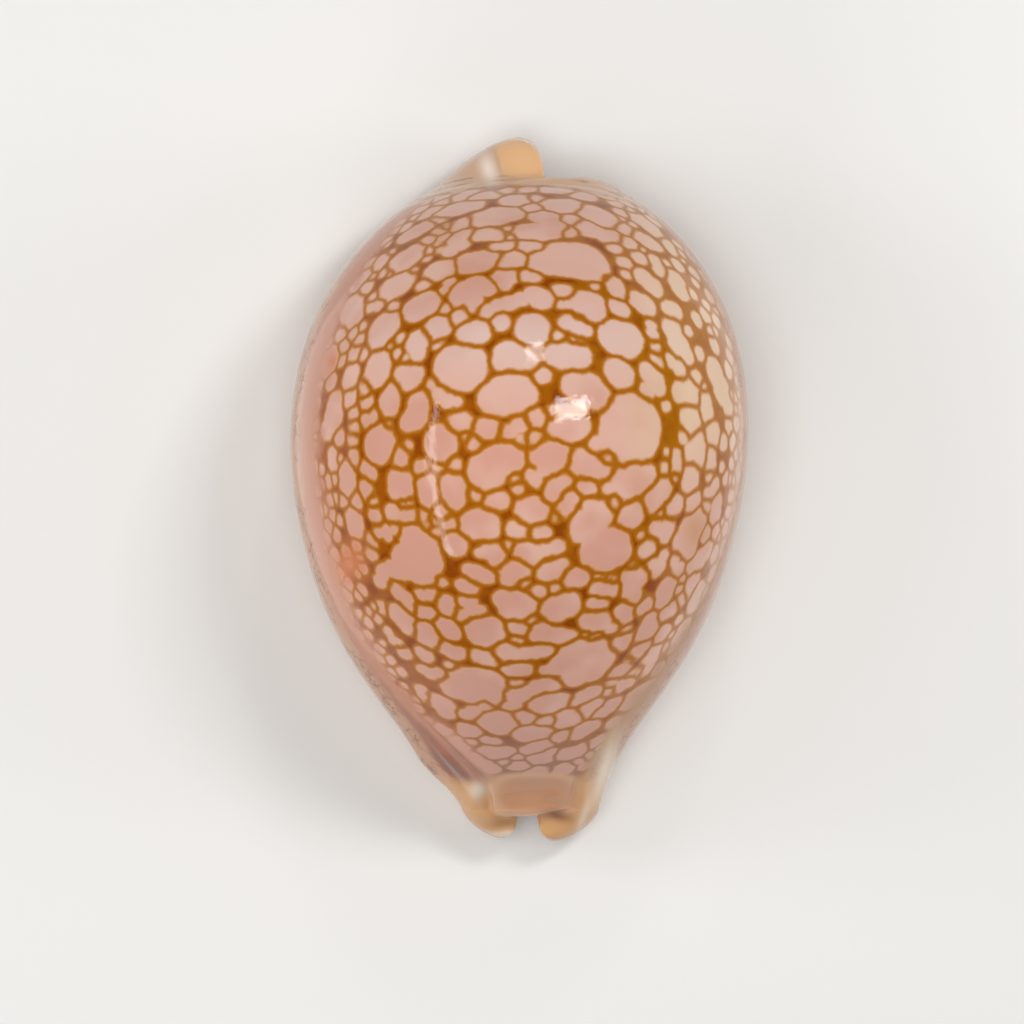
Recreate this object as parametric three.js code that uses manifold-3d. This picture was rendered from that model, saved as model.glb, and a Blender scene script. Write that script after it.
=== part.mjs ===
// A broderips cowrie, the large pear-shaped shell of a sea snail, lying on its base.
// +Y runs along the shell to the blunt spire end, and -Y to the narrow front end.
// +Z is up through the back, and -X is the side of the outer lip. Lengths are in millimetres.
import * as THREE from "three";
import { mergeVertices } from "three/addons/utils/BufferGeometryUtils.js";
import Module from "manifold-3d";

const { degToRad, lerp: mix, clamp, smoothstep: ramp } = THREE.MathUtils;

// The egg that the shell is drawn on. Its rim is the widest line round it, and the base below that is flatter
const halfGirth = 27.3;
const backHeight = 28.8;
const baseDepth = 16.2;
const halfLength = 39.05;
const middleY = -0.96;
const baseFlatness = 1.8;
const baseTaper = 0.08;

// The egg is cut off at these two angles, where the channels open
const spireAngle = degToRad(17);
const frontAngle = degToRad(163);

// The stub round the channel of each end: size about its rim, lift off the ground and shift to the side
const spireEnd = { halfWidth: 8.8, height: 6, depth: 3.4, lift: 3.0, shift: 0 };
const frontEnd = { halfWidth: 7.4, height: 4.4, depth: 3.2, lift: 2.2, shift: 1.45 };
const endSoftness = { width: 3, height: 2, depth: 1.5 };
const narrowing = { from: 0.72, to: 0.96 };
const shifting = { from: 0.8, to: 0.97 };

// The front end's swollen shoulders, and the two grooves beside its raised top
const frontShoulders = { at: -0.84, spread: 0.09, width: 0.9 };
const frontGrooves = { angle: 0.72, spread: 0.2, depth: 0.9, from: 0.84, to: 0.93 };

// Walls, and the roof and the wall of the two channels
const backWall = 2.4;
const sideWall = 3.0;
const endWall = 3.6;
const channelRoof = 3.2;
const channelArch = 1.4;
const channelSpare = 0.25;

// The slit between the lips: its middle line, and its half gap, which is widest towards the front
const slitMiddle = { centre: -2.6, front: 4.0, spire: 7.75 };
const slitGap = { narrow: 1.35, widening: 0.75, widestAt: -0.5, spread: 0.28 };

// The rolled lips: round and rise shape the outside, inside and crown the inside
const outerLip = { side: -1, round: 3.6, rise: 3.0, inside: 2.6, crown: 2.6 };
const innerLip = { side: 1, round: 4.0, rise: 3.4, inside: 2.2, crown: 4.6 };
const endLip = { round: 1.7, rise: 1.6, inside: 0.2, crown: 1.2 };

// The ends stand out past the last section: their lips are drawn out, and their rims bulge into lobes
const spireLobes = {
  drawn: [2.9, 0.2],
  bulge: [3.4, 0.9],
  from: 0.22,
  to: 0.5,
  roof: 0.75,
  tilt: 0,
  skew: 1.35,
  sharp: 1.4,
};
const frontLobes = {
  drawn: [2.2, 2.5],
  bulge: [1.65, 1.75],
  from: 0.3,
  to: 0.72,
  roof: 0.8,
  tilt: 0.3,
  skew: 1.2,
  sharp: 1,
};
const drawnFrom = 0.86;
const drawnOutside = { from: 0.5, to: 0.95 };
const drawnInside = { from: 0.25, to: 0.6 };
const lobeClosing = 9;

// Teeth: low ridges that wrap each lip from the base into the slit
const outerTeeth = { lip: outerLip, count: 29, from: 0.09, to: 0.94, height: 0.5, halfWidth: 0.85 };
const innerTeeth = { lip: innerLip, count: 25, from: 0.12, to: 0.93, height: 0.42, halfWidth: 0.8 };
const toothSpan = { from: 0.14, to: 0.62 };
const toothRoot = 0.35;
const toothCrest = 0.45;
const toothTip = 0.3;

// The flat spot that the shell rests on is cut this far above its lowest point
const restCut = 0.16;

// Mesh density
const stations = 39;
const sideSteps = 13;
const lipSteps = 6;
const toothSteps = 3;

const smoothMax = (a, b, soft) => (a + b + Math.hypot(a - b, soft)) / 2;
const swell = (x, at, spread) => Math.exp(-(((x - at) / spread) ** 2));
const rampOver = (x, span) => ramp(x, span.from, span.to);
const pick = (side, [outer, inner]) => (side < 0 ? outer : inner);

// Outlines from above and from the side, as shares of the half girth and of the height. c runs from 1 at
// the spire end of the egg to -1 at its front end
const planShape = (c) => 0.975 + 0.22 * c - 0.06 * c ** 2 - 0.45 * Math.max(0, -c - 0.3) ** 2;
const backShape = (c) => 0.985 + 0.2 * c - 0.26 * c ** 2 + 0.22 * c ** 3 - 6.4 * Math.max(0, -c - 0.6) ** 3;
const middleLine = (c) => 0.45 * c + 0.5 * c ** 2 - 0.11;

// Sizes and places of the cross-section at an angle along the shell
function stationAt(angle) {
  const c = Math.cos(angle);
  const s = Math.sin(angle);
  const end = c > 0 ? spireEnd : frontEnd;
  const nearEnd = rampOver(Math.abs(c), narrowing);
  const shoulders = frontShoulders.width * swell(c, frontShoulders.at, frontShoulders.spread);
  const height = smoothMax(backHeight * s * backShape(c), end.height, endSoftness.height);
  const depth = smoothMax(baseDepth * s * (1 + baseTaper * c), end.depth, endSoftness.depth);
  const rim = end.lift * c ** 4 + depth;
  const middle = middleLine(c) + end.shift * rampOver(Math.abs(c), shifting);
  const bend = slitMiddle.front * Math.max(0, -c) ** 2.5 + slitMiddle.spire * Math.max(0, c) ** 3;
  return {
    c,
    y: middleY + halfLength * c,
    nearEnd,
    width: smoothMax(halfGirth * s * planShape(c), end.halfWidth, endSoftness.width) + shoulders,
    height,
    depth,
    rim,
    middle,
    slit: slitMiddle.centre + bend,
    gap: slitGap.narrow + slitGap.widening * swell(c, slitGap.widestAt, slitGap.spread),
    drawn: ramp(Math.abs(c), drawnFrom, Math.cos(spireAngle)),
    groove: frontGrooves.depth * rampOver(-c, frontGrooves),
  };
}

// The hollow at a station: a smaller egg, which narrows to a channel at each end
function hollowAt(st) {
  const c = clamp((st.c * halfLength) / (halfLength - endWall), -1, 1);
  const s = Math.sqrt(1 - c ** 2);
  const channel = st.gap + mix(outerLip.inside, channelSpare, st.nearEnd);
  const roof = st.rim + st.height;
  const dome = st.rim + (backHeight - backWall) * s * backShape(c);
  return {
    width: smoothMax((halfGirth - sideWall) * s * planShape(c), channel, 0.5),
    top: Math.min(smoothMax(dome, roof - channelRoof, 1), roof - backWall),
    middle: mix(st.middle, st.slit, st.nearEnd),
    slit: st.slit,
  };
}

// The share of the depth below the rim, for a share down of the way to the bottom
const flatten = (down) => 1 - (1 - down) ** baseFlatness;

// A point of an egg's section: angle 0 is its top, a quarter turn its rim and a half turn its bottom
function eggPoint(egg, side, angle) {
  const up = Math.max(0, Math.cos(angle));
  const down = Math.max(0, -Math.cos(angle));
  return [
    egg.middle + side * egg.width * Math.sin(angle) + (egg.slit - egg.middle) * down ** 3,
    egg.rim + egg.height * up - egg.depth * flatten(down),
  ];
}

// The angle at which such a section is a distance away from the middle of the slit, found in a few passes
function angleAt(egg, side, distance) {
  let down = 1;
  let angle = Math.PI;
  for (let pass = 0; pass < 6; pass++) {
    const across = side * (egg.slit - egg.middle) * (1 - down ** 3) + distance;
    angle = Math.PI - Math.asin(clamp(across / egg.width, 0.02, 0.98));
    down = Math.max(0, -Math.cos(angle));
  }
  return angle;
}

// The outside, from the top (share 0) to where the lip starts to roll in (share 1)
function outsidePoint(st, side, share) {
  const lip = lipAt(st, side);
  const angle = share * angleAt(st, side, st.gap + lip.round);
  const [x, z] = eggPoint(st, side, angle);
  const dent = st.groove * swell(angle, frontGrooves.angle, frontGrooves.spread);
  return [x - side * dent * Math.sin(angle), z - dent * Math.cos(angle)];
}

function lipAt(st, side) {
  const lip = pick(side, [outerLip, innerLip]);
  const part = (name) => mix(lip[name], endLip[name], st.nearEnd);
  return { round: part("round"), rise: part("rise"), inside: part("inside"), crown: part("crown") };
}

// The rolled lip, from the base (share 0) past the face in the slit (share 0.5) to the inside (share 1)
function lipPoint(st, side, share) {
  const lip = lipAt(st, side);
  const foot = outsidePoint(st, side, 1)[1];
  const turn = share * Math.PI;
  const back = (share < 0.5 ? lip.round : lip.inside) * (1 - Math.sin(turn));
  const climb = (share < 0.5 ? lip.rise : lip.crown) * Math.cos(turn);
  return [st.slit + side * (st.gap + back), foot + lip.rise - climb];
}

// The inside, from the top of the hollow (share 0) to the inner edge of the lip (share 1)
function insidePoint(st, side, share) {
  const egg = hollowAt(st);
  const floor = lipPoint(st, side, 1)[1];
  egg.rim = Math.min(Math.max(st.rim, floor), egg.top - channelArch);
  egg.height = egg.top - egg.rim;
  const last = angleAt(egg, side, st.gap + lipAt(st, side).inside);
  egg.depth = (egg.rim - floor) / flatten(-Math.cos(last));
  return eggPoint(egg, side, share * last);
}

// How far a point of a section is drawn out along the shell, for a share 0 to 1 of the whole reach
function drawnOut(st, side, share) {
  const lobes = st.c > 0 ? spireLobes : frontLobes;
  return Math.sign(st.c) * st.drawn * pick(side, lobes.drawn) * share;
}

// Points of one closed section, in order: outside, inner lip, inside, outer lip
function sectionRing(st) {
  const ring = [];
  const add = ([x, z], side, drawnShare) => ring.push([x, st.y + drawnOut(st, side, drawnShare), z]);
  const sideOf = (i) => Math.sign(i) || 1;
  for (let i = -sideSteps; i <= sideSteps; i++) {
    const share = Math.abs(i) / sideSteps;
    add(outsidePoint(st, sideOf(i), share), sideOf(i), rampOver(share, drawnOutside));
  }
  for (let k = 1; k < lipSteps; k++) add(lipPoint(st, 1, k / lipSteps), 1, 1);
  for (let i = sideSteps; i >= -sideSteps; i--) {
    const share = Math.abs(i) / sideSteps;
    add(insidePoint(st, sideOf(i), share), sideOf(i), rampOver(share, drawnInside));
  }
  for (let k = lipSteps - 1; k > 0; k--) add(lipPoint(st, -1, k / lipSteps), -1, 1);
  return ring;
}

const columns = 2 * sideSteps + 1;
const ringSize = 2 * columns + 2 * (lipSteps - 1);

// How far the rim of an end bulges out, at a place given by its side and its share of the way down
function rimBulge(lobes, side, share) {
  const roof = lobes.roof - side * lobes.tilt * ramp(share, 0, 0.3);
  return mix(roof, pick(side, lobes.bulge), rampOver(share, lobes)) * Math.sqrt(1 - share ** lobeClosing);
}

// Closes an end with a rounded rim, from the outside of its last section over to the inside
function closeEnd(vertices, quad, base, lobes, outward) {
  const insideColumn = (j) => base + columns + lipSteps - 1 + columns - 1 - j;
  const rimPoint = (j, turn) => {
    const side = Math.sign(j - sideSteps) || 1;
    const bulge = rimBulge(lobes, side, Math.abs(j - sideSteps) / sideSteps);
    const reach = outward * bulge * Math.sin(Math.PI * turn ** lobes.skew) ** lobes.sharp;
    const blend = (1 - Math.cos(Math.PI * turn)) / 2;
    const [x, y, z] = vertices[base + j].map((value, i) => mix(value, vertices[insideColumn(j)][i], blend));
    return vertices.push([x, y + reach, z]) - 1;
  };
  const pointAt = (j, k) => {
    if (k === 0) return base + j;
    if (k === lipSteps) return insideColumn(j);
    if (j === 0) return base + ringSize - k;
    if (j === columns - 1) return base + columns + k - 1;
    return rimPoint(j, k / lipSteps);
  };
  let row = Array.from({ length: columns }, (_, j) => pointAt(j, 0));
  for (let k = 1; k <= lipSteps; k++) {
    const next = Array.from({ length: columns }, (_, j) => pointAt(j, k));
    for (let j = 0; j < columns - 1; j++) {
      const corners = [row[j], next[j], next[j + 1], row[j + 1]];
      quad(...(outward > 0 ? corners : corners.reverse()));
    }
    row = next;
  }
}

function shellBody() {
  const vertices = [];
  const faces = [];
  const quad = (a, b, c, d) => faces.push(a, b, c, a, c, d);
  for (let i = 0; i < stations; i++) {
    const angle = mix(spireAngle, frontAngle, i / (stations - 1));
    vertices.push(...sectionRing(stationAt(angle)));
  }
  for (let here = 0; here < (stations - 1) * ringSize; here += ringSize) {
    for (let j = 0; j < ringSize; j++) {
      const next = (j + 1) % ringSize;
      quad(here + j, here + next, here + ringSize + next, here + ringSize + j);
    }
  }
  closeEnd(vertices, quad, 0, spireLobes, 1);
  closeEnd(vertices, quad, (stations - 1) * ringSize, frontLobes, -1);
  return solidOf(vertices, faces);
}

// One tooth, for a share 0 to 1 of the way from the spire end to the front end
function tooth(teeth, along) {
  const { side } = teeth.lip;
  const st = stationAt(mix(spireAngle, frontAngle, along));
  const y = st.y + drawnOut(st, side, 1);
  const vertices = [];
  const faces = [];
  for (let i = 0; i <= toothSteps; i++) {
    const share = mix(toothSpan.from, toothSpan.to, i / toothSteps);
    const [x, z] = lipPoint(st, side, share);
    const [nextX, nextZ] = lipPoint(st, side, share + 0.01);
    const length = Math.hypot(nextX - x, nextZ - z);
    const outX = (side * (z - nextZ)) / length;
    const outZ = (side * (nextX - x)) / length;
    const size = mix(toothTip, 1, Math.sin((Math.PI * i) / toothSteps));
    const corner = (dy, out) => vertices.push([x + outX * out, y + dy * size, z + outZ * out]);
    corner(-teeth.halfWidth, -toothRoot);
    corner(-teeth.halfWidth * toothCrest, teeth.height * size);
    corner(teeth.halfWidth * toothCrest, teeth.height * size);
    corner(teeth.halfWidth, -toothRoot);
  }
  for (let here = 0; here < toothSteps * 4; here += 4) {
    for (let j = 0; j < 4; j++) {
      const next = (j + 1) % 4;
      faces.push(here + j, here + next, here + 4 + next, here + j, here + 4 + next, here + 4 + j);
    }
  }
  const last = toothSteps * 4;
  faces.push(0, 3, 2, 0, 2, 1, last, last + 1, last + 2, last, last + 2, last + 3);
  return solidOf(vertices, faces);
}

// The block of ground that trims the base to its flat spot
function ground() {
  const size = 120;
  const block = new THREE.BoxGeometry(size, size, size).translate(0, 0, restCut - size / 2);
  block.deleteAttribute("normal");
  block.deleteAttribute("uv");
  const merged = mergeVertices(block);
  return toManifold(merged.attributes.position.array, merged.index.array);
}

const wasm = await Module();
wasm.setup();

function toManifold(positions, faces) {
  const vertProperties = new Float32Array(positions);
  const triVerts = new Uint32Array(faces);
  return new wasm.Manifold(new wasm.Mesh({ numProp: 3, vertProperties, triVerts }));
}

// A solid from a closed surface, which may have been drawn with its faces pointing in
function solidOf(vertices, faces) {
  const solid = toManifold(vertices.flat(), faces);
  return solid.volume() > 0 ? solid : toManifold(vertices.flat(), faces.reverse());
}

function geometryOf(solid) {
  const mesh = solid.getMesh();
  const geometry = new THREE.BufferGeometry();
  geometry.setAttribute("position", new THREE.BufferAttribute(mesh.vertProperties, 3));
  geometry.setIndex(new THREE.BufferAttribute(mesh.triVerts, 1));
  geometry.translate(0, 0, -restCut);
  geometry.computeVertexNormals();
  return geometry;
}

let solid = shellBody();
for (const teeth of [outerTeeth, innerTeeth]) {
  for (let i = 0; i < teeth.count; i++) {
    solid = solid.add(tooth(teeth, mix(teeth.from, teeth.to, i / (teeth.count - 1))));
  }
}
solid = solid.subtract(ground());

const porcelain = new THREE.MeshStandardMaterial({ color: 0xd8a58c, roughness: 0.18, metalness: 0 });
const shell = new THREE.Mesh(geometryOf(solid), porcelain);
shell.name = "shell";

const cowrie = new THREE.Group();
cowrie.add(shell);
export default cowrie;
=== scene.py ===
import math
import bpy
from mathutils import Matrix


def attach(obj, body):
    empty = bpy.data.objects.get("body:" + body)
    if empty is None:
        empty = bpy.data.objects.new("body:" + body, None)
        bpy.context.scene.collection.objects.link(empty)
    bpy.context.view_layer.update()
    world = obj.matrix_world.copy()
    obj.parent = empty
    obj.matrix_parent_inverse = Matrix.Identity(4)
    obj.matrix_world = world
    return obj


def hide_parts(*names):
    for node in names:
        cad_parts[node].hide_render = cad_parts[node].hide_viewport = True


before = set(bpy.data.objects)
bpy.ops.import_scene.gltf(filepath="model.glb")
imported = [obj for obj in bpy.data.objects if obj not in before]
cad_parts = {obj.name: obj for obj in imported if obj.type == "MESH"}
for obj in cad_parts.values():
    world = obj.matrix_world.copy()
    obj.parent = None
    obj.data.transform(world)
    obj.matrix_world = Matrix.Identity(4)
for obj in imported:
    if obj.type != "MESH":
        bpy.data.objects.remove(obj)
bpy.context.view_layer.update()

from types import SimpleNamespace

import bpy
import numpy as np
from mathutils import Matrix, Vector

# A broderips cowrie, back up, on a pale floor. Shapes are worked out in millimetres and made in metres.
mm = 0.001

# The camera looks straight down, with +Y up in the picture. Lengths are in millimetres
view = {
    "pixel": 0.11915,  # what one pixel of the picture spans at the level below
    "centre": (519.5, 489.0),  # the pixel over the origin
    "picture": 1024,
    "distance": 1400.0,
    "level": 16.0,
    "sensor": 36,
    "farthest": 10,  # in metres
}


def mix(a, b, share):
    return a + (b - a) * share


def ramp(x, low, high):
    share = np.clip((x - low) / (high - low), 0, 1)
    return share * share * (3 - 2 * share)


def swell(x, at, spread):
    return np.exp(-(((x - at) / spread) ** 2))


def smoothMax(a, b, soft):
    return (a + b + np.hypot(a - b, soft)) / 2


def bySide(side, outerAndInner):
    return np.where(side < 0, outerAndInner[0], outerAndInner[1])


# The egg that the shell is drawn on, and the stubs at its two ends
egg = {
    "halfGirth": 27.3,
    "backHeight": 28.8,
    "baseDepth": 16.2,
    "halfLength": 39.05,
    "middleY": -0.96,
    "baseFlatness": 1.8,
    "baseTaper": 0.08,
    "restCut": 0.16,  # the flat spot is cut this far above the lowest point
    "spireAngle": math.radians(17),
    "frontAngle": math.radians(163),
    "spireEnd": {"halfWidth": 8.8, "height": 6, "depth": 3.4, "lift": 3.0, "shift": 0},
    "frontEnd": {"halfWidth": 7.4, "height": 4.4, "depth": 3.2, "lift": 2.2, "shift": 1.45},
    "endSoftness": {"width": 3, "height": 2, "depth": 1.5},
    "narrowing": (0.72, 0.96),
    "shifting": (0.8, 0.97),
    "shoulders": {"at": -0.84, "spread": 0.09, "width": 0.9},
    "grooves": {"angle": 0.72, "spread": 0.2, "depth": 0.9, "from": 0.84, "to": 0.93},
    "drawnFrom": 0.86,
    "drawnOutside": (0.5, 0.95),
    "drawnInside": (0.25, 0.6),
    "spireLobes": {"drawn": (2.9, 0.2), "bulge": (3.4, 0.9), "span": (0.22, 0.5), "roof": 0.75, "tilt": 0,
                   "skew": 1.35, "sharp": 1.4},
    "frontLobes": {"drawn": (2.2, 2.5), "bulge": (1.65, 1.75), "span": (0.3, 0.72), "roof": 0.8, "tilt": 0.3,
                   "skew": 1.2, "sharp": 1},
    "lobeTiltTo": 0.3,
    "lobeClosing": 9,
    "slitPower": 3,  # how late a section bends toward the slit
    "liftPower": 4,  # how late the two ends rise
}

# The walls, the slit between the lips and the rolled lips. The outer lip comes first in each pair
lips = {
    "backWall": 2.4,
    "sideWall": 3.0,
    "endWall": 3.6,
    "channelRoof": 3.2,
    "channelArch": 1.4,
    "channelSpare": 0.25,
    "channelSoftness": {"roof": 1, "side": 0.5},
    "slitMiddle": {"centre": -2.6, "front": 4.0, "frontPower": 2.5, "spire": 7.75, "spirePower": 3},
    "slitGap": {"narrow": 1.35, "widening": 0.75, "widestAt": -0.5, "spread": 0.28},
    "round": ((3.6, 4.0), 1.7),
    "rise": ((3.0, 3.4), 1.6),
    "inside": ((2.6, 2.2), 0.2),
    "crown": ((2.6, 4.6), 1.2),
}

# How finely the shell is meshed, in how many rounds an angle on the base is found, and the limits of its sine
fineness = {"stations": 300, "columns": 121, "lipSteps": 14, "rounds": 6, "sines": (0.02, 0.98)}


# How wide and how high a section is beside the egg's own size, and where its middle lies. The place c of a
# section goes from 1 at the spire to -1 at the front. The factors are those of the powers of c
planForm = {"factors": (0.975, 0.22, -0.06), "front": -0.45, "from": 0.3, "power": 2}
backForm = {"factors": (0.985, 0.2, -0.26, 0.22), "front": -6.4, "from": 0.6, "power": 3}
middleForm = {"slope": 0.45, "bend": 0.5, "shift": -0.11}


def formAlong(c, form):
    total = sum(factor * c**power for power, factor in enumerate(form["factors"]))
    return total + form["front"] * np.maximum(0, -c - form["from"]) ** form["power"]


def middleLine(c):
    return middleForm["slope"] * c + middleForm["bend"] * c**2 + middleForm["shift"]


def flatten(down):
    return 1 - (1 - down) ** egg["baseFlatness"]


def stationsAt(angle):
    c, s = np.cos(angle), np.sin(angle)
    end = {name: np.where(c > 0, egg["spireEnd"][name], egg["frontEnd"][name]) for name in egg["frontEnd"]}
    nearEnd = ramp(abs(c), *egg["narrowing"])
    soft = egg["endSoftness"]
    shoulders = egg["shoulders"]["width"] * swell(c, egg["shoulders"]["at"], egg["shoulders"]["spread"])
    width = egg["halfGirth"] * s * formAlong(c, planForm)
    height = egg["backHeight"] * s * formAlong(c, backForm)
    depth = smoothMax(egg["baseDepth"] * s * (1 + egg["baseTaper"] * c), end["depth"], soft["depth"])
    slit = lips["slitMiddle"]
    bend = slit["front"] * np.maximum(0, -c) ** slit["frontPower"]
    bend = bend + slit["spire"] * np.maximum(0, c) ** slit["spirePower"]
    gap = lips["slitGap"]
    return SimpleNamespace(
        c=c,
        y=egg["middleY"] + egg["halfLength"] * c,
        nearEnd=nearEnd,
        width=smoothMax(width, end["halfWidth"], soft["width"]) + shoulders,
        height=smoothMax(height, end["height"], soft["height"]),
        depth=depth,
        rim=end["lift"] * c ** egg["liftPower"] + depth,
        middle=middleLine(c) + end["shift"] * ramp(abs(c), *egg["shifting"]),
        slit=slit["centre"] + bend,
        gap=gap["narrow"] + gap["widening"] * swell(c, gap["widestAt"], gap["spread"]),
        drawn=ramp(abs(c), egg["drawnFrom"], math.cos(egg["spireAngle"])),
        groove=egg["grooves"]["depth"] * ramp(-c, egg["grooves"]["from"], egg["grooves"]["to"]),
    )


def lipSize(name, st, side):
    pair, atEnd = lips[name]
    return mix(bySide(side, pair), atEnd, st.nearEnd)


def eggPoint(section, side, angle):
    up, down = np.maximum(0, np.cos(angle)), np.maximum(0, -np.cos(angle))
    toSlit = (section.slit - section.middle) * down ** egg["slitPower"]
    x = section.middle + side * section.width * np.sin(angle) + toSlit
    return x, section.rim + section.height * up - section.depth * flatten(down)


def angleAt(section, side, distance):
    down, angle = 1.0, math.pi
    for _ in range(fineness["rounds"]):
        across = side * (section.slit - section.middle) * (1 - down ** egg["slitPower"]) + distance
        angle = math.pi - np.arcsin(np.clip(across / section.width, *fineness["sines"]))
        down = np.maximum(0, -np.cos(angle))
    return angle


def outsideAngle(st, side, share):
    return share * angleAt(st, side, st.gap + lipSize("round", st, side))


def outsidePoint(st, side, share):
    angle = outsideAngle(st, side, share)
    x, z = eggPoint(st, side, angle)
    dent = st.groove * swell(angle, egg["grooves"]["angle"], egg["grooves"]["spread"])
    return x - side * dent * np.sin(angle), z - dent * np.cos(angle)


def lipPoint(st, side, share):
    foot = outsidePoint(st, side, 1.0)[1]
    turn = share * math.pi
    onBase = share < 0.5
    back = np.where(onBase, lipSize("round", st, side), lipSize("inside", st, side)) * (1 - np.sin(turn))
    climb = np.where(onBase, lipSize("rise", st, side), lipSize("crown", st, side)) * np.cos(turn)
    return st.slit + side * (st.gap + back), foot + lipSize("rise", st, side) - climb


def insidePoint(st, side, share):
    c = np.clip(st.c * egg["halfLength"] / (egg["halfLength"] - lips["endWall"]), -1, 1)
    s = np.sqrt(1 - c**2)
    channel = st.gap + mix(lips["inside"][0][0], lips["channelSpare"], st.nearEnd)
    roof = st.rim + st.height
    dome = st.rim + (egg["backHeight"] - lips["backWall"]) * s * formAlong(c, backForm)
    soft = lips["channelSoftness"]
    top = smoothMax(dome, roof - lips["channelRoof"], soft["roof"])
    top = np.minimum(top, roof - lips["backWall"])
    floor = lipPoint(st, side, 1.0)[1]
    rim = np.minimum(np.maximum(st.rim, floor), top - lips["channelArch"])
    width = (egg["halfGirth"] - lips["sideWall"]) * s * formAlong(c, planForm)
    hollow = SimpleNamespace(
        width=smoothMax(width, channel, soft["side"]),
        middle=mix(st.middle, st.slit, st.nearEnd),
        slit=st.slit,
        rim=rim,
        height=top - rim,
    )
    last = angleAt(hollow, side, st.gap + lipSize("inside", st, side))
    hollow.depth = (rim - floor) / flatten(-np.cos(last))
    return eggPoint(hollow, side, share * last)


def drawnOut(st, side, share):
    lobe = np.where(
        st.c > 0,
        bySide(side, egg["spireLobes"]["drawn"]),
        bySide(side, egg["frontLobes"]["drawn"]),
    )
    return np.sign(st.c) * st.drawn * lobe * share


def grid(st, point, side, share, drawnShare):
    x, z = point(st, side, share)
    y = st.y + drawnOut(st, side, drawnShare)
    return np.stack(np.broadcast_arrays(x, y, z), axis=-1)


def rimRows(outside, inside, lobes, outward, place):
    share = abs(place)
    roof = lobes["roof"] - np.sign(place) * lobes["tilt"] * ramp(share, 0, egg["lobeTiltTo"])
    bulge = mix(roof, bySide(place, lobes["bulge"]), ramp(share, *lobes["span"]))
    bulge = bulge * np.sqrt(np.maximum(0, 1 - share ** egg["lobeClosing"]))
    rows = []
    for k in range(1, fineness["lipSteps"]):
        turn = k / fineness["lipSteps"]
        row = mix(outside, inside, (1 - math.cos(math.pi * turn)) / 2)
        row[:, 1] += outward * bulge * math.sin(math.pi * turn ** lobes["skew"]) ** lobes["sharp"]
        rows.append(row)
    return rows


def shellSections():
    angle = np.linspace(egg["spireAngle"], egg["frontAngle"], fineness["stations"])[:, None]
    place = np.linspace(-1, 1, fineness["columns"])[None, :]
    steps = np.arange(1, fineness["lipSteps"])[None, :] / fineness["lipSteps"]
    st = stationsAt(angle)
    side, share = np.where(place < 0, -1.0, 1.0), abs(place)
    both = {
        "outside": grid(st, outsidePoint, side, share, ramp(share, *egg["drawnOutside"])),
        "innerLip": grid(st, lipPoint, np.ones(1), steps, 1.0),
        "inside": grid(st, insidePoint, side, share, ramp(share, *egg["drawnInside"])),
        "outerLip": grid(st, lipPoint, -np.ones(1), steps, 1.0),
    }
    around = side * outsideAngle(st, side, share) / math.pi
    return st, place[0], both, around


# Where each point lies: round the section (0 at the top, 1 at the slit, minus on the outer lip's side), along
# the shell (1 at the spire, -1 at the front) and how far in it is (0 outside, 1 in the hollow)
def placesOf(st, around, count, inner):
    along = np.broadcast_to(st.c, (fineness["stations"], count))
    around = np.broadcast_to(around, along.shape)
    return np.stack([around, along, np.broadcast_to(inner, along.shape)], axis=-1)


def shellPoints():
    st, place, part, around = shellSections()
    columns, lipSteps = fineness["columns"], fineness["lipSteps"]
    addRelief(part["outside"], around, st)
    steps = np.arange(1, lipSteps) / lipSteps
    ring = [part["outside"], part["innerLip"], part["inside"][:, ::-1], part["outerLip"][:, ::-1]]
    where = [
        placesOf(st, around, columns, 0.0),
        placesOf(st, 1.0, lipSteps - 1, steps),
        placesOf(st, around[:, ::-1], columns, 1.0),
        placesOf(st, -1.0, lipSteps - 1, steps[::-1]),
    ]
    points = [np.concatenate(ring, axis=1).reshape(-1, 3)]
    places = [np.concatenate(where, axis=1).reshape(-1, 3)]
    for station, lobes, outward in ((0, egg["spireLobes"], 1), (-1, egg["frontLobes"], -1)):
        rows = rimRows(part["outside"][station], part["inside"][station], lobes, outward, place)
        along = np.full(columns, st.c[station, 0])
        for k, row in enumerate(rows, start=1):
            points.append(row[1:-1])
            inner = np.full(columns, k / lipSteps)
            places.append(np.stack([around[station], along, inner], axis=-1)[1:-1])
    points, places = np.concatenate(points), np.concatenate(places)
    points[:, 2] = np.maximum(points[:, 2] - egg["restCut"], 0)
    return points, places


def quads(corners, flip):
    a, b = corners[:-1, :-1], corners[1:, :-1]
    c, d = corners[1:, 1:], corners[:-1, 1:]
    faces = np.stack([a, b, c, d], axis=-1).reshape(-1, 4)
    return faces[:, ::-1] if flip else faces


# Rows of vertex numbers over the rim of an end, from its outside to its inside
def rimNumbers(base, firstRim):
    columns, lipSteps = fineness["columns"], fineness["lipSteps"]
    ringSize = 2 * columns + 2 * (lipSteps - 1)
    insideRow = base + columns + lipSteps - 1 + columns - 1 - np.arange(columns)
    rows = [base + np.arange(columns)]
    for k in range(1, lipSteps):
        middle = firstRim + (k - 1) * (columns - 2) + np.arange(columns - 2)
        rows.append(np.concatenate([[base + ringSize - k], middle, [base + columns + k - 1]]))
    rows.append(insideRow)
    return np.array(rows)


def shellFaces():
    columns, lipSteps, stations = fineness["columns"], fineness["lipSteps"], fineness["stations"]
    ringSize = 2 * columns + 2 * (lipSteps - 1)
    ring = np.arange(stations * ringSize).reshape(stations, ringSize)
    ring = np.concatenate([ring, ring[:, :1]], axis=1)
    firstRim = stations * ringSize
    rimSize = (lipSteps - 1) * (columns - 2)
    spireRim = rimNumbers(0, firstRim)
    frontRim = rimNumbers((stations - 1) * ringSize, firstRim + rimSize)
    return np.concatenate([quads(ring, False), quads(spireRim, True), quads(frontRim, False)])


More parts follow.
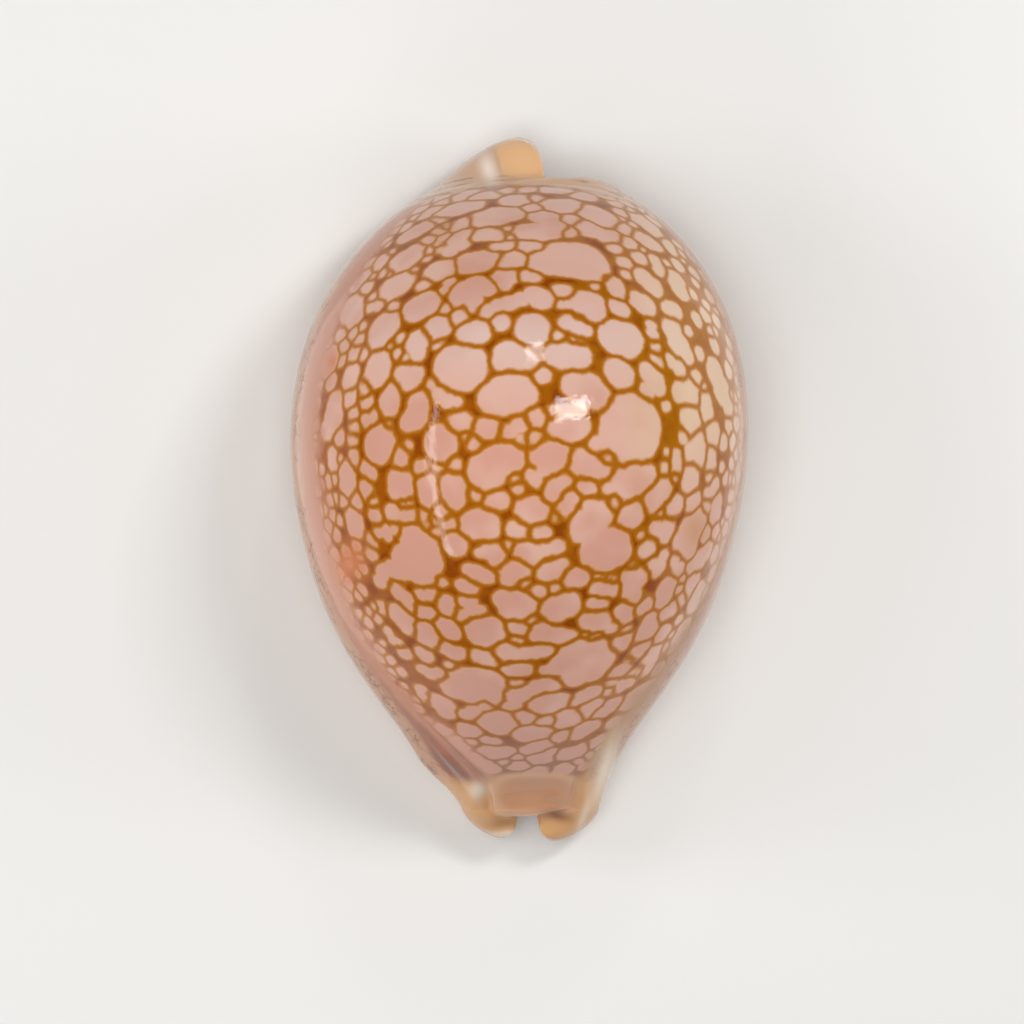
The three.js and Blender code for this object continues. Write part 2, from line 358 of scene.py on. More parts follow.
def makeMesh(name, points, faces):
    mesh = bpy.data.meshes.new(name)
    mesh.vertices.add(len(points))
    mesh.vertices.foreach_set("co", (points * mm).ravel())
    mesh.loops.add(faces.size)
    mesh.loops.foreach_set("vertex_index", faces.ravel())
    mesh.polygons.add(len(faces))
    mesh.polygons.foreach_set("loop_start", np.arange(len(faces)) * 4)
    mesh.polygons.foreach_set("use_smooth", np.ones(len(faces), bool))
    mesh.update()
    mesh.validate()
    return mesh


# Low relief of the outside: bumps and dents, each with its place seen from above in millimetres, its two half
# sizes, the turn of the first one from +X in degrees, and its height
relief = {
    "plateauLeftRim": {"at": (-2.9, -36.8), "half": (0.42, 2.0), "turn": 4, "height": 0.34},
    "plateauFrontRim": {"at": (0.8, -38.6), "half": (3.4, 0.4), "turn": 6, "height": 0.22},
    "plateauFloor": {"at": (1.6, -36.4), "half": (2.6, 1.2), "turn": 4, "height": -0.3},
    "leftGroove": {"at": (-3.9, -36.0), "half": (0.42, 2.2), "turn": 12, "height": -0.3},
    "leftShoulder": {"at": (-5.2, -36.0), "half": (0.9, 1.5), "turn": 10, "height": 0.5},
    "leftCreaseA": {"at": (-7.6, -32.6), "half": (4.2, 0.34), "turn": -47, "height": -0.24},
    "leftCreaseB": {"at": (-9.2, -32.4), "half": (3.8, 0.34), "turn": -52, "height": -0.2},
    "leftFold": {"at": (-8.4, -32.5), "half": (4.0, 0.4), "turn": -49, "height": 0.16},
    "rightGroove": {"at": (6.7, -35.8), "half": (0.42, 2.2), "turn": -8, "height": -0.34},
    "rightFold": {"at": (7.8, -36.2), "half": (0.6, 2.2), "turn": -10, "height": 0.34},
    "rightCrease": {"at": (8.9, -34.0), "half": (3.6, 0.36), "turn": 76, "height": -0.34},
    "rightRidge": {"at": (10.1, -33.8), "half": (3.8, 0.62), "turn": 75, "height": 0.5},
    "crescentHollowAndShade": {"at": (4.6, -37.9), "half": (1.7, 0.7), "turn": -10, "height": -0.4},
    "spireGrooveAndHighlight": {"at": (-3.5, 38.7), "half": (0.75, 2.6), "turn": 16, "height": -0.6},
    "spireShoulder": {"at": (-6.8, 38.0), "half": (1.4, 1.2), "turn": 24, "height": 0.55},
    "spireKnob": {"at": (9.3, 36.9), "half": (1.2, 0.8), "turn": -20, "height": 0.34},
}

# Fine arcs across the spire end, by where they cross the middle in millimetres
wrinkles = {"levels": (36.1, 36.8, 37.4), "spread": 0.2, "depth": 0.1, "bend": 0.012}

# How far round a section the relief begins and ends to fade
reliefFade = (0.55, 0.65)


def addRelief(outside, around, st):
    normal = np.cross(np.gradient(outside, axis=0), np.gradient(outside, axis=1))
    normal /= np.linalg.norm(normal, axis=-1, keepdims=True)
    lift = np.zeros(outside.shape[:2])
    for form in relief.values():
        turn = math.radians(form["turn"])
        dx, dy = outside[..., 0] - form["at"][0], outside[..., 1] - form["at"][1]
        first = (dx * math.cos(turn) + dy * math.sin(turn)) / form["half"][0]
        second = (dy * math.cos(turn) - dx * math.sin(turn)) / form["half"][1]
        lift += form["height"] * np.exp(-(first**2) - second**2)
    arc = outside[..., 1] + wrinkles["bend"] * outside[..., 0] ** 2
    for level in wrinkles["levels"]:
        lift -= wrinkles["depth"] * swell(arc, level, wrinkles["spread"])
    outside += normal * (lift * (1 - ramp(abs(around), *reliefFade)))[..., None]


# Sockets that take Python's own operators, for the trees of materials and of shapes
class Wire:
    def __init__(self, maker, socket):
        self.maker = maker
        self.socket = socket

    def vectorLike(self, value):
        if isinstance(value, Wire):
            return value.socket.type in ("VECTOR", "RGBA")
        return isinstance(value, tuple)

    def operate(self, operation, first, second):
        vectors = [self.vectorLike(value) for value in (first, second)]
        if not any(vectors):
            return self.maker.add("ShaderNodeMath", {"operation": operation}, {0: first, 1: second})
        if operation == "MULTIPLY" and not all(vectors):
            vector, scale = (first, second) if vectors[0] else (second, first)
            return self.maker.add("ShaderNodeVectorMath", {"operation": "SCALE"}, {0: vector, "Scale": scale})
        return self.maker.add("ShaderNodeVectorMath", {"operation": operation}, {0: first, 1: second})

    def __add__(self, other):
        return self.operate("ADD", self, other)

    def __radd__(self, other):
        return self.operate("ADD", other, self)

    def __sub__(self, other):
        return self.operate("SUBTRACT", self, other)

    def __rsub__(self, other):
        return self.operate("SUBTRACT", other, self)

    def __mul__(self, other):
        return self.operate("MULTIPLY", self, other)

    def __rmul__(self, other):
        return self.operate("MULTIPLY", other, self)

    def __truediv__(self, other):
        return self.operate("DIVIDE", self, other)

    def __pow__(self, other):
        return self.operate("POWER", self, other)

    def __neg__(self):
        return self.operate("MULTIPLY", self, -1.0)

    def __abs__(self):
        return self.maker.math("ABSOLUTE", self)


class Maker:
    def __init__(self, tree):
        self.tree = tree
        self.tree.nodes.clear()

    def add(self, kind, settings=None, sockets=None, output=0):
        node = self.tree.nodes.new(kind)
        for name, value in (settings or {}).items():
            setattr(node, name, value)
        for key, value in (sockets or {}).items():
            self.feed(self.socketOf(node.inputs, key), value)
        return Wire(self, self.socketOf(node.outputs, output)) if len(node.outputs) else None

    def socketOf(self, sockets, key):
        if isinstance(key, int):
            return sockets[key]
        return next((s for s in sockets if s.identifier == key), None) or sockets[key]

    def feed(self, socket, value):
        if isinstance(value, Wire):
            self.tree.links.new(value.socket, socket)
        elif socket.type == "RGBA" and len(value) == 3:
            socket.default_value = (*value, 1)
        else:
            socket.default_value = value

    def math(self, operation, *values):
        return self.add("ShaderNodeMath", {"operation": operation}, dict(enumerate(values)))

    def length(self, vector):
        return self.add("ShaderNodeVectorMath", {"operation": "LENGTH"}, {0: vector}, "Value")

    def parts(self, vector):
        return [self.add("ShaderNodeSeparateXYZ", {}, {0: vector}, axis) for axis in range(3)]

    def ramp(self, value, low, high):
        kind = {"interpolation_type": "SMOOTHSTEP"}
        return self.add("ShaderNodeMapRange", kind, {"Value": value, "From Min": low, "From Max": high})

    def blend(self, share, first, second):
        sockets = {"Factor_Float": share, "A_Color": first, "B_Color": second}
        return self.add("ShaderNodeMix", {"data_type": "RGBA"}, sockets, "Result_Color")

    def noise(self, vector, scale, detail=2.0, output="Fac"):
        sockets = {"Vector": vector, "Scale": scale, "Detail": detail}
        return self.add("ShaderNodeTexNoise", {}, sockets, output)

    # A drift moves a place and a waver moves a number, by a noise with this scale, detail and reach
    def drift(self, vector, scale, detail, reach):
        return (self.noise(vector, scale, detail, output="Color") - (0.5, 0.5, 0.5)) * reach

    def waver(self, vector, scale, detail, reach):
        return (self.noise(vector, scale, detail) - 0.5) * reach

    def clouds(self, vector, form):
        return self.ramp(self.noise(vector, form["scale"]), *form["span"])


# The fine teeth of the two lips, as ridges that run in from the base
teeth = {
    "Outer teeth": 29,
    "Inner teeth": 25,
    "Tooth height": 0.5,
    "Tooth start": 0.08,
    "Tooth end": 0.64,
    "Seed": 4,
}

# Where the two rows run along the slit, and the shape of one tooth across and along its ridge
toothForm = {
    "outer": (0.09, 0.94),
    "inner": (0.12, 0.93),
    "flank": (0.08, 0.46),
    "fullness": 0.6,
    "uneven": (0.75, 1.1),
}


def teethTree(material):
    tree = bpy.data.node_groups.new("lip teeth", "GeometryNodeTree")
    tree.interface.new_socket("Geometry", in_out="INPUT", socket_type="NodeSocketGeometry")
    tree.interface.new_socket("Geometry", in_out="OUTPUT", socket_type="NodeSocketGeometry")
    for name, value in teeth.items():
        kind = "NodeSocketInt" if isinstance(value, int) else "NodeSocketFloat"
        tree.interface.new_socket(name, in_out="INPUT", socket_type=kind)
    make = Maker(tree)
    inputs = tree.nodes.new("NodeGroupInput")
    given = {name: Wire(make, inputs.outputs[name]) for name in ("Geometry", *teeth)}
    place = make.add("GeometryNodeInputNamedAttribute", {"data_type": "FLOAT_VECTOR"}, {"Name": "shellPlace"})
    around, along, inner = make.parts(place)
    onInner = make.math("GREATER_THAN", around, 0.0)
    angle = (make.math("ARCCOSINE", along) - egg["spireAngle"]) / (egg["frontAngle"] - egg["spireAngle"])
    low, high = (mix(*ends, onInner) for ends in zip(toothForm["outer"], toothForm["inner"]))
    count = mix(given["Outer teeth"], given["Inner teeth"], onInner)
    step = (angle - low) / (high - low) * (count - 1)
    tooth = make.math("ROUND", step)
    inRow = make.math("GREATER_THAN", tooth, -0.5) * make.math("LESS_THAN", tooth, count - 0.5)
    across = 1 - make.ramp(abs(step - tooth), *toothForm["flank"])
    share = (inner - given["Tooth start"]) / (given["Tooth end"] - given["Tooth start"])
    share = make.add("ShaderNodeClamp", {}, {"Value": share})
    reach = make.math("SINE", share * math.pi) ** toothForm["fullness"]
    seedPoint = make.add("ShaderNodeCombineXYZ", {}, {0: tooth, 1: onInner, 2: given["Seed"]})
    uneven = make.add("ShaderNodeTexWhiteNoise", {"noise_dimensions": "3D"}, {"Vector": seedPoint}, "Value")
    ridge = across * reach * inRow * mix(*toothForm["uneven"], uneven)
    normal = make.add("GeometryNodeInputNormal")
    offset = normal * (ridge * given["Tooth height"] * mm)
    settings = {"data_type": "FLOAT", "domain": "POINT"}
    sockets = {"Geometry": given["Geometry"], "Name": "toothRidge", "Value": ridge}
    kept = make.add("GeometryNodeStoreNamedAttribute", settings, sockets)
    shaped = make.add("GeometryNodeSetPosition", {}, {"Geometry": kept, "Offset": offset})
    real = make.add("GeometryNodeRealizeInstances", {}, {"Geometry": shaped})
    painted = make.add("GeometryNodeSetMaterial", {}, {"Geometry": real, "Material": material})
    output = tree.nodes.new("NodeGroupOutput")
    make.feed(output.inputs["Geometry"], painted)
    return tree


def cutTeeth(shell, material):
    tree = teethTree(material)
    modifier = shell.modifiers.new("teeth", "NODES")
    modifier.node_group = tree
    for item in tree.interface.items_tree:
        if item.in_out == "INPUT" and item.name in teeth:
            modifier[item.identifier] = teeth[item.name]
    evaluated = shell.evaluated_get(bpy.context.evaluated_depsgraph_get())
    toothed = bpy.data.meshes.new_from_object(evaluated)
    shell.modifiers.clear()
    places = np.empty(len(toothed.vertices) * 3, np.float32)
    toothed.vertices.foreach_get("co", places)
    places[2::3] = np.maximum(places[2::3], 0)  # nothing may reach below the floor
    toothed.vertices.foreach_set("co", places)
    shell.data = toothed


# Marks placed one by one from the photograph, as circles of x, y and radius in its pixels. Circles of one
# mark join up
handPlaced = {
    "upper left": [
        [(391, 289, 12), (402, 284, 12)], [(417, 309, 13), (425, 303, 13)], [(404, 261, 12), (412, 254, 11)],
        [(436, 271, 10.5), (444, 269, 10.5)], [(468, 262, 12), (480, 261, 12.5), (488, 260, 10)],
        [(484, 219, 9), (497, 216, 11), (510, 214, 8)], [(447, 212, 7.5), (460, 208, 8), (472, 205, 6)],
        [(384, 327, 15), (380, 335, 13)], [(352, 308, 10), (352, 316, 10)],
        [(366, 275, 5.5), (357, 284, 5.5)],
        [(380, 262, 6.5), (375, 267, 5)], [(368, 289, 5.5)], [(372, 308, 5), (379, 305, 6)], [(394, 308, 5)],
        [(421, 285, 5), (425, 284, 5)], [(449, 283, 5.5), (444, 289, 5)],
        [(462, 292, 12), (476, 287, 12), (488, 288, 9), (474, 302, 8), (458, 302, 6), (473, 309, 4)],
        [(502, 277, 8.5), (509, 277, 8.5), (504, 284, 7)], [(506, 263, 7), (515, 259, 9)],
        [(527, 276, 6.5), (535, 277, 6)], [(459, 317, 8)], [(445, 309, 4.5)], [(437, 328, 13)],
        [(478, 235, 6), (487, 235, 6.5), (498, 235, 6.5)],
        [(462, 235, 7), (455, 240, 6.5), (440, 250, 5), (450, 250, 7), (462, 246, 6)],
        [(444, 238, 4.5), (438, 244, 4.5)], [(463, 223, 5), (455, 227, 4.5)], [(440, 232, 4.5)],
        [(429, 241, 5)], [(429, 251, 5)], [(424, 226, 6), (415, 231, 7), (406, 236, 6)],
        [(512, 200, 6), (520, 200, 6.5)], [(480, 197, 5), (490, 195, 5)], [(460, 197, 4.5), (470, 194, 4.5)],
        [(434, 209, 4.5), (425, 214, 4)], [(497, 246, 5), (507, 246, 5.5)], [(510, 237, 3)], [(508, 229, 2)],
        [(506, 234, 2)],
        [(488, 311, 7.5), (498, 306, 7.5), (510, 303, 8.5), (520, 300, 8), (534, 294, 9), (541, 299, 11)],
        [(501, 323, 9)], [(427, 259, 3.5)], [(414, 271, 3)], [(437, 221, 3.5), (441, 218, 3)],
        [(446, 226, 3)], [(383, 272, 3.5)], [(372, 276, 3)], [(392, 273, 2.5)], [(372, 297, 4)],
    ],
    "upper right": [
        [(538, 263, 9), (548, 262, 15), (565, 259, 20), (582, 261, 21), (590, 266, 17)],
        [(526, 233, 9), (538, 232, 10), (550, 230, 9), (558, 228, 6), (542, 217, 7), (550, 217, 6)],
        [(527, 247, 7), (535, 246, 6)], [(550, 205, 6.5), (560, 207, 8.5), (570, 206, 7.5)],
        [(594, 213, 9.5), (602, 217, 10.5), (609, 218, 8)], [(571, 220, 5)],
        [(588, 229, 8.5), (594, 233, 7), (606, 237, 6.5), (614, 236, 6.5)],
        [(568, 233, 4.5), (573, 232, 3.5)],
        [(625, 228, 6.5)], [(629, 242, 7)], [(640, 219, 8), (648, 225, 8.5), (655, 231, 7)],
        [(639, 237, 6), (648, 242, 7.5), (655, 247, 5)], [(614, 250, 6)], [(624, 262, 6.5)], [(639, 259, 7)],
        [(655, 260, 6), (660, 270, 6.5)], [(643, 277, 9), (652, 286, 9.5), (656, 292, 6)],
        [(615, 284, 8), (618, 290, 8)], [(560, 291, 7), (566, 291, 7)],
        [(582, 302, 12), (592, 304, 13), (596, 312, 10), (560, 305, 4.5), (568, 305, 5)],
        [(616, 308, 8), (622, 309, 8)], [(638, 298, 9), (645, 305, 10.5)], [(670, 309, 8), (674, 311, 7)],
        [(579, 196, 5), (586, 196, 5)], [(535, 199, 3.5)], [(533, 208, 5)],
        [(567, 322, 8), (577, 328, 8), (586, 331, 6)], [(616, 337, 17), (626, 339, 18)], [(533, 330, 17)],
        [(675, 281, 9), (679, 291, 8)], [(668, 243, 5), (673, 250, 5)],
        [(672, 330, 11), (680, 342, 12), (687, 354, 8)], [(605, 276, 3.5)], [(626, 275, 5)], [(594, 288, 4)],
        [(622, 213, 4)], [(627, 204, 4)], [(548, 190, 4.5), (558, 190, 4.5), (568, 191, 4)],
        [(530, 189, 3.5), (522, 190, 3.5)], [(600, 193, 4), (608, 197, 4)], [(505, 190, 3), (512, 190, 3)],
    ],
    "middle left": [
        [(469, 333, 12), (477, 332, 13)], [(417, 342, 12), (419, 355, 8), (405, 358, 4)],
        [(437, 345, 4.5), (441, 342, 3.5)], [(455, 366, 21), (464, 369, 23), (469, 366, 19)],
        [(404, 374, 10), (412, 376, 11), (408, 380, 10)], [(380, 364, 13), (377, 373, 14)],
        [(391, 392, 8), (388, 402, 11), (390, 410, 7)], [(351, 373, 7.5), (348, 380, 8)],
        [(364, 386, 6), (364, 391, 5)], [(351, 398, 7.5)], [(368, 404, 7.5)],
        [(367, 420, 6.5), (374, 417, 5.5)],
        [(353, 414, 6)], [(355, 427, 6)], [(333, 382, 5)], [(331, 362, 10)],
        [(336, 405, 9), (333, 418, 11), (328, 430, 7)], [(343, 346, 5)], [(343, 361, 4)], [(353, 353, 6.5)],
        [(363, 355, 5)], [(359, 340, 5)], [(352, 333, 5)], [(341, 333, 5)], [(363, 327, 3.5)],
        [(401, 338, 5)], [(398, 354, 5)], [(390, 345, 3.5)], [(419, 404, 11), (415, 416, 12), (407, 422, 8)],
        [(379, 445, 17)], [(440, 440, 15), (441, 446, 16)], [(457, 423, 9), (464, 423, 9)],
        [(432, 384, 5), (438, 393, 9), (448, 400, 8), (457, 402, 6)],
        [(508, 354, 14), (520, 357, 12), (528, 361, 9), (500, 362, 8)],
        [(495, 398, 17), (505, 395, 20), (516, 393, 19), (526, 396, 12)], [(484, 428, 9.5), (491, 429, 10)],
        [(473, 444, 6)], [(466, 438, 3)], [(340, 437, 5)], [(351, 439, 5.5)], [(407, 445, 4.5)],
        [(388, 425, 2.5)],
    ],
    "middle right": [
        [(558, 336, 5.5)], [(573, 340, 3), (580, 341, 3)], [(555, 355, 11), (565, 356, 14), (577, 356, 14)],
        [(652, 324, 6), (653, 333, 6)], [(657, 346, 5.5)], [(655, 358, 5), (660, 363, 4.5)],
        [(669, 361, 6.5), (677, 369, 7), (685, 373, 4.5)], [(617, 371, 13), (623, 375, 13)],
        [(648, 372, 9), (655, 382, 10), (647, 390, 8), (660, 388, 7)], [(543, 375, 8.5)],
        [(575, 385, 13), (590, 388, 15), (598, 396, 13), (583, 400, 10)],
        [(632, 429, 33), (604, 443, 9), (596, 444, 7)], [(680, 393, 11), (690, 393, 12)], [(697, 378, 6)],
        [(665, 407, 5.5)], [(689, 420, 12.5)], [(706, 402, 7), (709, 412, 8)], [(715, 434, 9)],
        [(683, 437, 6), (697, 443, 9), (700, 453, 11), (692, 453, 9)],
        [(558, 427, 10), (568, 428, 14), (577, 427, 13)], [(537, 418, 9)], [(536, 440, 8)],
        [(519, 425, 8), (508, 433, 8), (519, 441, 6)], [(553, 412, 6)], [(609, 456, 6)], [(667, 453, 4)],
        [(717, 372, 10), (722, 390, 10), (727, 405, 7)],
    ],
    "lower left": [
        [(332, 455, 5), (332, 463, 5)], [(352, 455, 5), (354, 462, 5)], [(367, 468, 6), (371, 474, 6)],
        [(347, 474, 9.5), (347, 484, 9.5)], [(400, 455, 8), (400, 462, 7.5)], [(421, 467, 6.5)],
        [(434, 467, 3.5), (438, 468, 3.5)], [(455, 465, 6)], [(487, 471, 19), (497, 465, 18), (510, 458, 15)],
        [(398, 480, 11), (404, 480, 10), (397, 489, 11), (404, 489, 10.5)], [(367, 488, 7), (368, 491, 7)],
        [(356, 498, 5.5), (356, 504, 5.5)], [(372, 501, 5)], [(404, 503, 4), (408, 503, 4)],
        [(427, 485, 9.5), (428, 494, 9.5), (429, 500, 8)], [(451, 485, 12), (454, 492, 13), (455, 500, 9)],
        [(473, 495, 4), (478, 497, 4)], [(493, 503, 8.5), (500, 501, 9)], [(356, 519, 9), (357, 527, 9)],
        [(374, 515, 7)], [(392, 513, 8.5), (405, 516, 6.5), (411, 515, 6.5)], [(441, 512, 7)],
        [(447, 524, 5), (451, 523, 5)], [(424, 516, 5), (428, 524, 5.5)], [(434, 522, 5), (436, 531, 5)],
        [(474, 525, 14), (484, 524, 15), (489, 529, 10)], [(455, 544, 11.5), (457, 545, 11)],
        [(479, 553, 4), (487, 552, 7), (495, 553, 8.5), (497, 560, 7)],
        [(469, 570, 6), (476, 573, 8), (484, 576, 7), (489, 578, 5)], [(463, 584, 7), (470, 588, 7)],
        [(443, 582, 4)],
        [(413, 540, 14), (421, 550, 17), (424, 562, 17), (408, 562, 17), (423, 575, 12), (395, 572, 11),
         (384, 575, 9), (380, 582, 6)],
        [(377, 532, 5), (385, 532, 6), (394, 529, 5), (388, 537, 4)], [(369, 539, 4), (375, 544, 4)],
        [(356, 547, 4.5)], [(371, 555, 6)], [(397, 585, 7), (399, 593, 7), (406, 600, 7), (409, 607, 5)],
        [(383, 605, 4.5), (384, 610, 4)], [(421, 595, 6), (430, 594, 7)], [(423, 612, 6.5), (429, 613, 6.5)],
        [(397, 613, 8.5), (403, 621, 9.5), (408, 628, 7)], [(446, 602, 8), (447, 608, 7)],
        [(464, 601, 5.5), (471, 602, 5.5), (469, 607, 5), (480, 611, 6), (470, 613, 6.5), (462, 616, 6.5)],
        [(425, 631, 9.5), (428, 638, 10)], [(445, 625, 8), (452, 631, 8.5)],
        [(388, 632, 4), (394, 639, 5), (398, 644, 4)],
        [(478, 631, 13), (488, 629, 13.5), (484, 636, 13), (493, 633, 11)], [(405, 653, 6.5)],
        [(421, 653, 6), (426, 656, 6.5)], [(446, 648, 7), (454, 653, 7.5), (461, 653, 6)], [(450, 666, 4.5)],
        [(478, 655, 7), (486, 659, 8), (492, 661, 6.5)], [(423, 669, 5), (431, 674, 6), (439, 673, 6)],
        [(455, 688, 12), (466, 680, 15), (475, 682, 17), (487, 683, 15), (493, 690, 11), (470, 692, 12),
         (492, 699, 6)],
        [(421, 690, 5), (424, 697, 5.5)], [(436, 702, 8), (443, 706, 9), (446, 713, 7)],
        [(466, 713, 5), (475, 712, 7), (484, 707, 5.5)],
        [(492, 721, 11), (500, 720, 11), (507, 720, 9), (499, 727, 9)],
        [(466, 728, 5.5), (472, 731, 6), (465, 735, 4)],
    ],
    "lower middle": [
        [(514, 478, 5)], [(518, 489, 5)],
        [(535, 456, 6), (545, 453, 14), (557, 455, 14), (552, 464, 12), (545, 472, 8), (537, 479, 8),
         (530, 474, 5)],
        [(524, 509, 10), (533, 508, 11), (539, 511, 10), (530, 514, 11)], [(514, 529, 8), (521, 531, 8)],
        [(536, 533, 6), (544, 533, 6.5)], [(509, 545, 4)],
        [(520, 550, 7), (527, 552, 9), (533, 558, 8), (537, 553, 7), (546, 549, 7), (556, 547, 8)],
        [(508, 570, 8), (515, 569, 9), (522, 573, 8), (508, 580, 7), (514, 578, 6)], [(526, 583, 4)],
        [(538, 592, 7)], [(547, 572, 9.5), (556, 570, 10), (562, 566, 7)],
        [(573, 577, 8.5), (580, 579, 8), (571, 584, 5)], [(555, 588, 4)],
        [(505, 600, 11), (515, 602, 12), (524, 604, 12), (512, 608, 12), (522, 611, 10)],
        [(515, 627, 6.5), (522, 630, 6.5)], [(514, 640, 3), (519, 640, 3)],
        [(507, 651, 9), (503, 655, 8), (515, 656, 6), (525, 653, 7), (535, 652, 7), (545, 651, 7)],
        [(510, 669, 7), (518, 669, 8), (524, 669, 6.5)], [(514, 683, 3), (519, 683, 3)],
        [(512, 695, 6.5), (520, 696, 8), (528, 692, 7), (536, 686, 7), (545, 684, 7), (553, 687, 6),
         (514, 704, 5), (508, 706, 4)],
        [(541, 704, 9), (549, 704, 11), (557, 702, 9.5), (562, 699, 6)],
        [(552, 608, 10), (560, 607, 12), (568, 606, 12), (570, 602, 9), (558, 613, 10)], [(532, 620, 4)],
        [(541, 629, 8), (535, 635, 6), (548, 635, 9), (558, 635, 9), (567, 636, 7), (573, 636, 4)],
        [(521, 717, 6), (527, 718, 6)], [(566, 716, 8), (573, 717, 8), (562, 722, 6)],
        [(541, 722, 4), (548, 721, 4.5)],
    ],
    "lower right": [
        [(580, 461, 11), (588, 466, 12), (598, 471, 10), (604, 473, 9), (577, 468, 8)],
        [(554, 486, 10), (562, 482, 8), (552, 494, 8), (567, 479, 5)], [(585, 486, 8), (590, 487, 8.5)],
        [(571, 498, 7.5), (566, 508, 8.5), (563, 512, 6)], [(556, 517, 4)],
        [(610, 486, 9), (621, 481, 12), (634, 474, 12), (645, 474, 11), (652, 475, 7), (636, 467, 7),
         (627, 489, 11), (638, 483, 10)],
        [(613, 503, 5.5)], [(664, 487, 9), (660, 493, 10), (654, 501, 10), (650, 504, 7)],
        [(632, 514, 11.5), (637, 512, 9), (626, 520, 7)], [(676, 504, 7.5), (673, 511, 7.5)],
        [(660, 515, 3.5)], [(657, 528, 9), (664, 528, 10), (665, 535, 7)], [(693, 474, 9), (692, 483, 10)],
        [(678, 457, 7), (678, 466, 6.5)], [(663, 467, 5)], [(676, 478, 3)], [(692, 502, 8), (695, 501, 7.5)],
        [(709, 477, 4)], [(712, 487, 6), (710, 494, 5.5)], [(709, 455, 6.5), (709, 464, 6)],
        [(708, 506, 5), (715, 503, 6), (716, 514, 6)],
        [(697, 523, 11), (691, 532, 13), (688, 543, 12), (683, 541, 9), (691, 552, 5)], [(642, 536, 4)],
        [(647, 549, 8.5), (651, 548, 8)], [(665, 556, 6), (658, 566, 8), (652, 565, 6), (656, 572, 5)],
        [(678, 561, 6.5), (678, 569, 6.5)], [(706, 551, 6.5), (700, 561, 7.5), (694, 567, 6)],
        [(668, 586, 8.5), (663, 592, 9), (662, 598, 7.5)],
        [(630, 577, 10), (637, 577, 10), (632, 588, 10), (634, 596, 7)], [(693, 581, 6), (690, 588, 6)],
        [(590, 507, 8), (600, 514, 13), (583, 524, 12), (592, 530, 15), (580, 532, 10), (597, 548, 16),
         (613, 545, 17), (605, 556, 15), (618, 552, 13), (592, 555, 10)],
        [(597, 576, 2.5), (602, 576, 2.5)], [(609, 579, 2.5), (613, 579, 2.5)], [(631, 565, 3.5)],
        [(598, 588, 7), (606, 590, 8), (612, 590, 7)], [(594, 604, 6), (601, 604, 6.5)],
        [(623, 612, 9.5), (625, 617, 8.5)], [(647, 604, 5.5), (642, 610, 5.5)],
        [(651, 620, 7), (649, 627, 9), (643, 634, 8), (655, 632, 4)],
        [(588, 619, 8.5), (597, 620, 9.5), (603, 622, 8), (596, 626, 8), (590, 625, 7), (611, 628, 5.5),
         (615, 627, 5)],
        [(626, 630, 4)], [(592, 637, 2.5), (597, 637, 2.5)], [(585, 634, 2.5)],
        [(619, 642, 7), (625, 640, 7), (622, 646, 6)],
        [(545, 669, 5), (555, 668, 8), (566, 664, 13), (578, 656, 17), (592, 655, 16), (600, 660, 13),
         (582, 668, 18), (594, 670, 13), (575, 676, 11), (605, 655, 8)],
        [(641, 649, 6.5), (636, 653, 7), (646, 646, 4)],
        [(630, 661, 4.5), (623, 668, 6), (620, 672, 6), (614, 673, 4)],
        [(575, 701, 4.5), (582, 697, 6.5), (590, 693, 7), (598, 692, 5.5)], [(609, 691, 4.5)],
        [(612, 684, 5), (620, 685, 6), (630, 682, 6)], [(632, 673, 4), (640, 671, 5)],
        [(656, 652, 6), (650, 661, 7), (646, 669, 6)], [(664, 632, 6), (660, 637, 5)],
        [(672, 609, 5.5), (666, 614, 5.5)], [(681, 598, 4), (681, 603, 3)], [(697, 592, 7), (694, 602, 7)],
        [(684, 629, 7), (679, 637, 8), (674, 645, 6)],
        [(648, 688, 7), (640, 694, 9), (632, 699, 9), (627, 704, 6)],
        [(612, 705, 6.5), (617, 703, 6), (605, 712, 5.5), (598, 716, 4)],
        [(588, 709, 6.5), (595, 704, 5), (587, 715, 4.5)], [(633, 715, 7), (640, 708, 5)],
    ],
    "front": [
        [(525, 734, 8), (535, 732, 9), (541, 733, 7)], [(489, 752, 7), (498, 753, 7.5), (505, 752, 7)],
        [(486, 741, 3), (495, 741, 3.5)], [(527, 751, 5), (536, 748, 6), (545, 744, 5)], [(516, 757, 4)],
        [(514, 766, 5), (521, 766, 5)], [(536, 759, 5.5), (544, 757, 6.5), (551, 753, 4.5)],
        [(557, 737, 5), (563, 735, 5)], [(566, 753, 6.5), (575, 752, 7), (583, 749, 5.5)],
        [(577, 733, 6), (585, 729, 7.5), (592, 727, 6)], [(594, 744, 5), (600, 740, 4)], [(505, 763, 3.5)],
        [(532, 774, 5), (540, 771, 6), (546, 772, 4.5)], [(556, 771, 6), (564, 769, 6), (569, 768, 5)],
        [(578, 763, 4), (583, 767, 4)], [(440, 729, 4.5), (447, 733, 4.5)], [(456, 740, 5), (462, 746, 5)],
        [(471, 742, 3)], [(476, 757, 4), (484, 763, 5), (492, 769, 6)],
    ],
}

# The pattern of the back: pale rounded marks, each a few circles that have grown together, in a brown net.
# Random marks fill the steep sides, where the photograph shows them too narrow to place one by one. Sizes are
# in millimetres, and a place round the shell is 0 at the top and 1 at the slit
marks = {
    "seed": 7,
    "perFace": 12,
    "sizes": (0.85, 0.62, 0.45, 0.32),
    "smallestShare": 0.8,  # a mark with less room than this share of its size is left out
    "tries": 900,
    "gap": 0.36,
    "placedAround": 0.5,
    "fillAround": (0.24, 0.66),
    "fillAlong": 0.95,
    "storedAround": 0.75,
    "largest": {"left": 0.62, "right": 0.85},
    "steepest": 0.45,
    "leastChance": 1e-6,
    "nowhere": (0, 0, -1000, 0.1),  # the circle of a face outside the pattern
    "batches": 40,
}


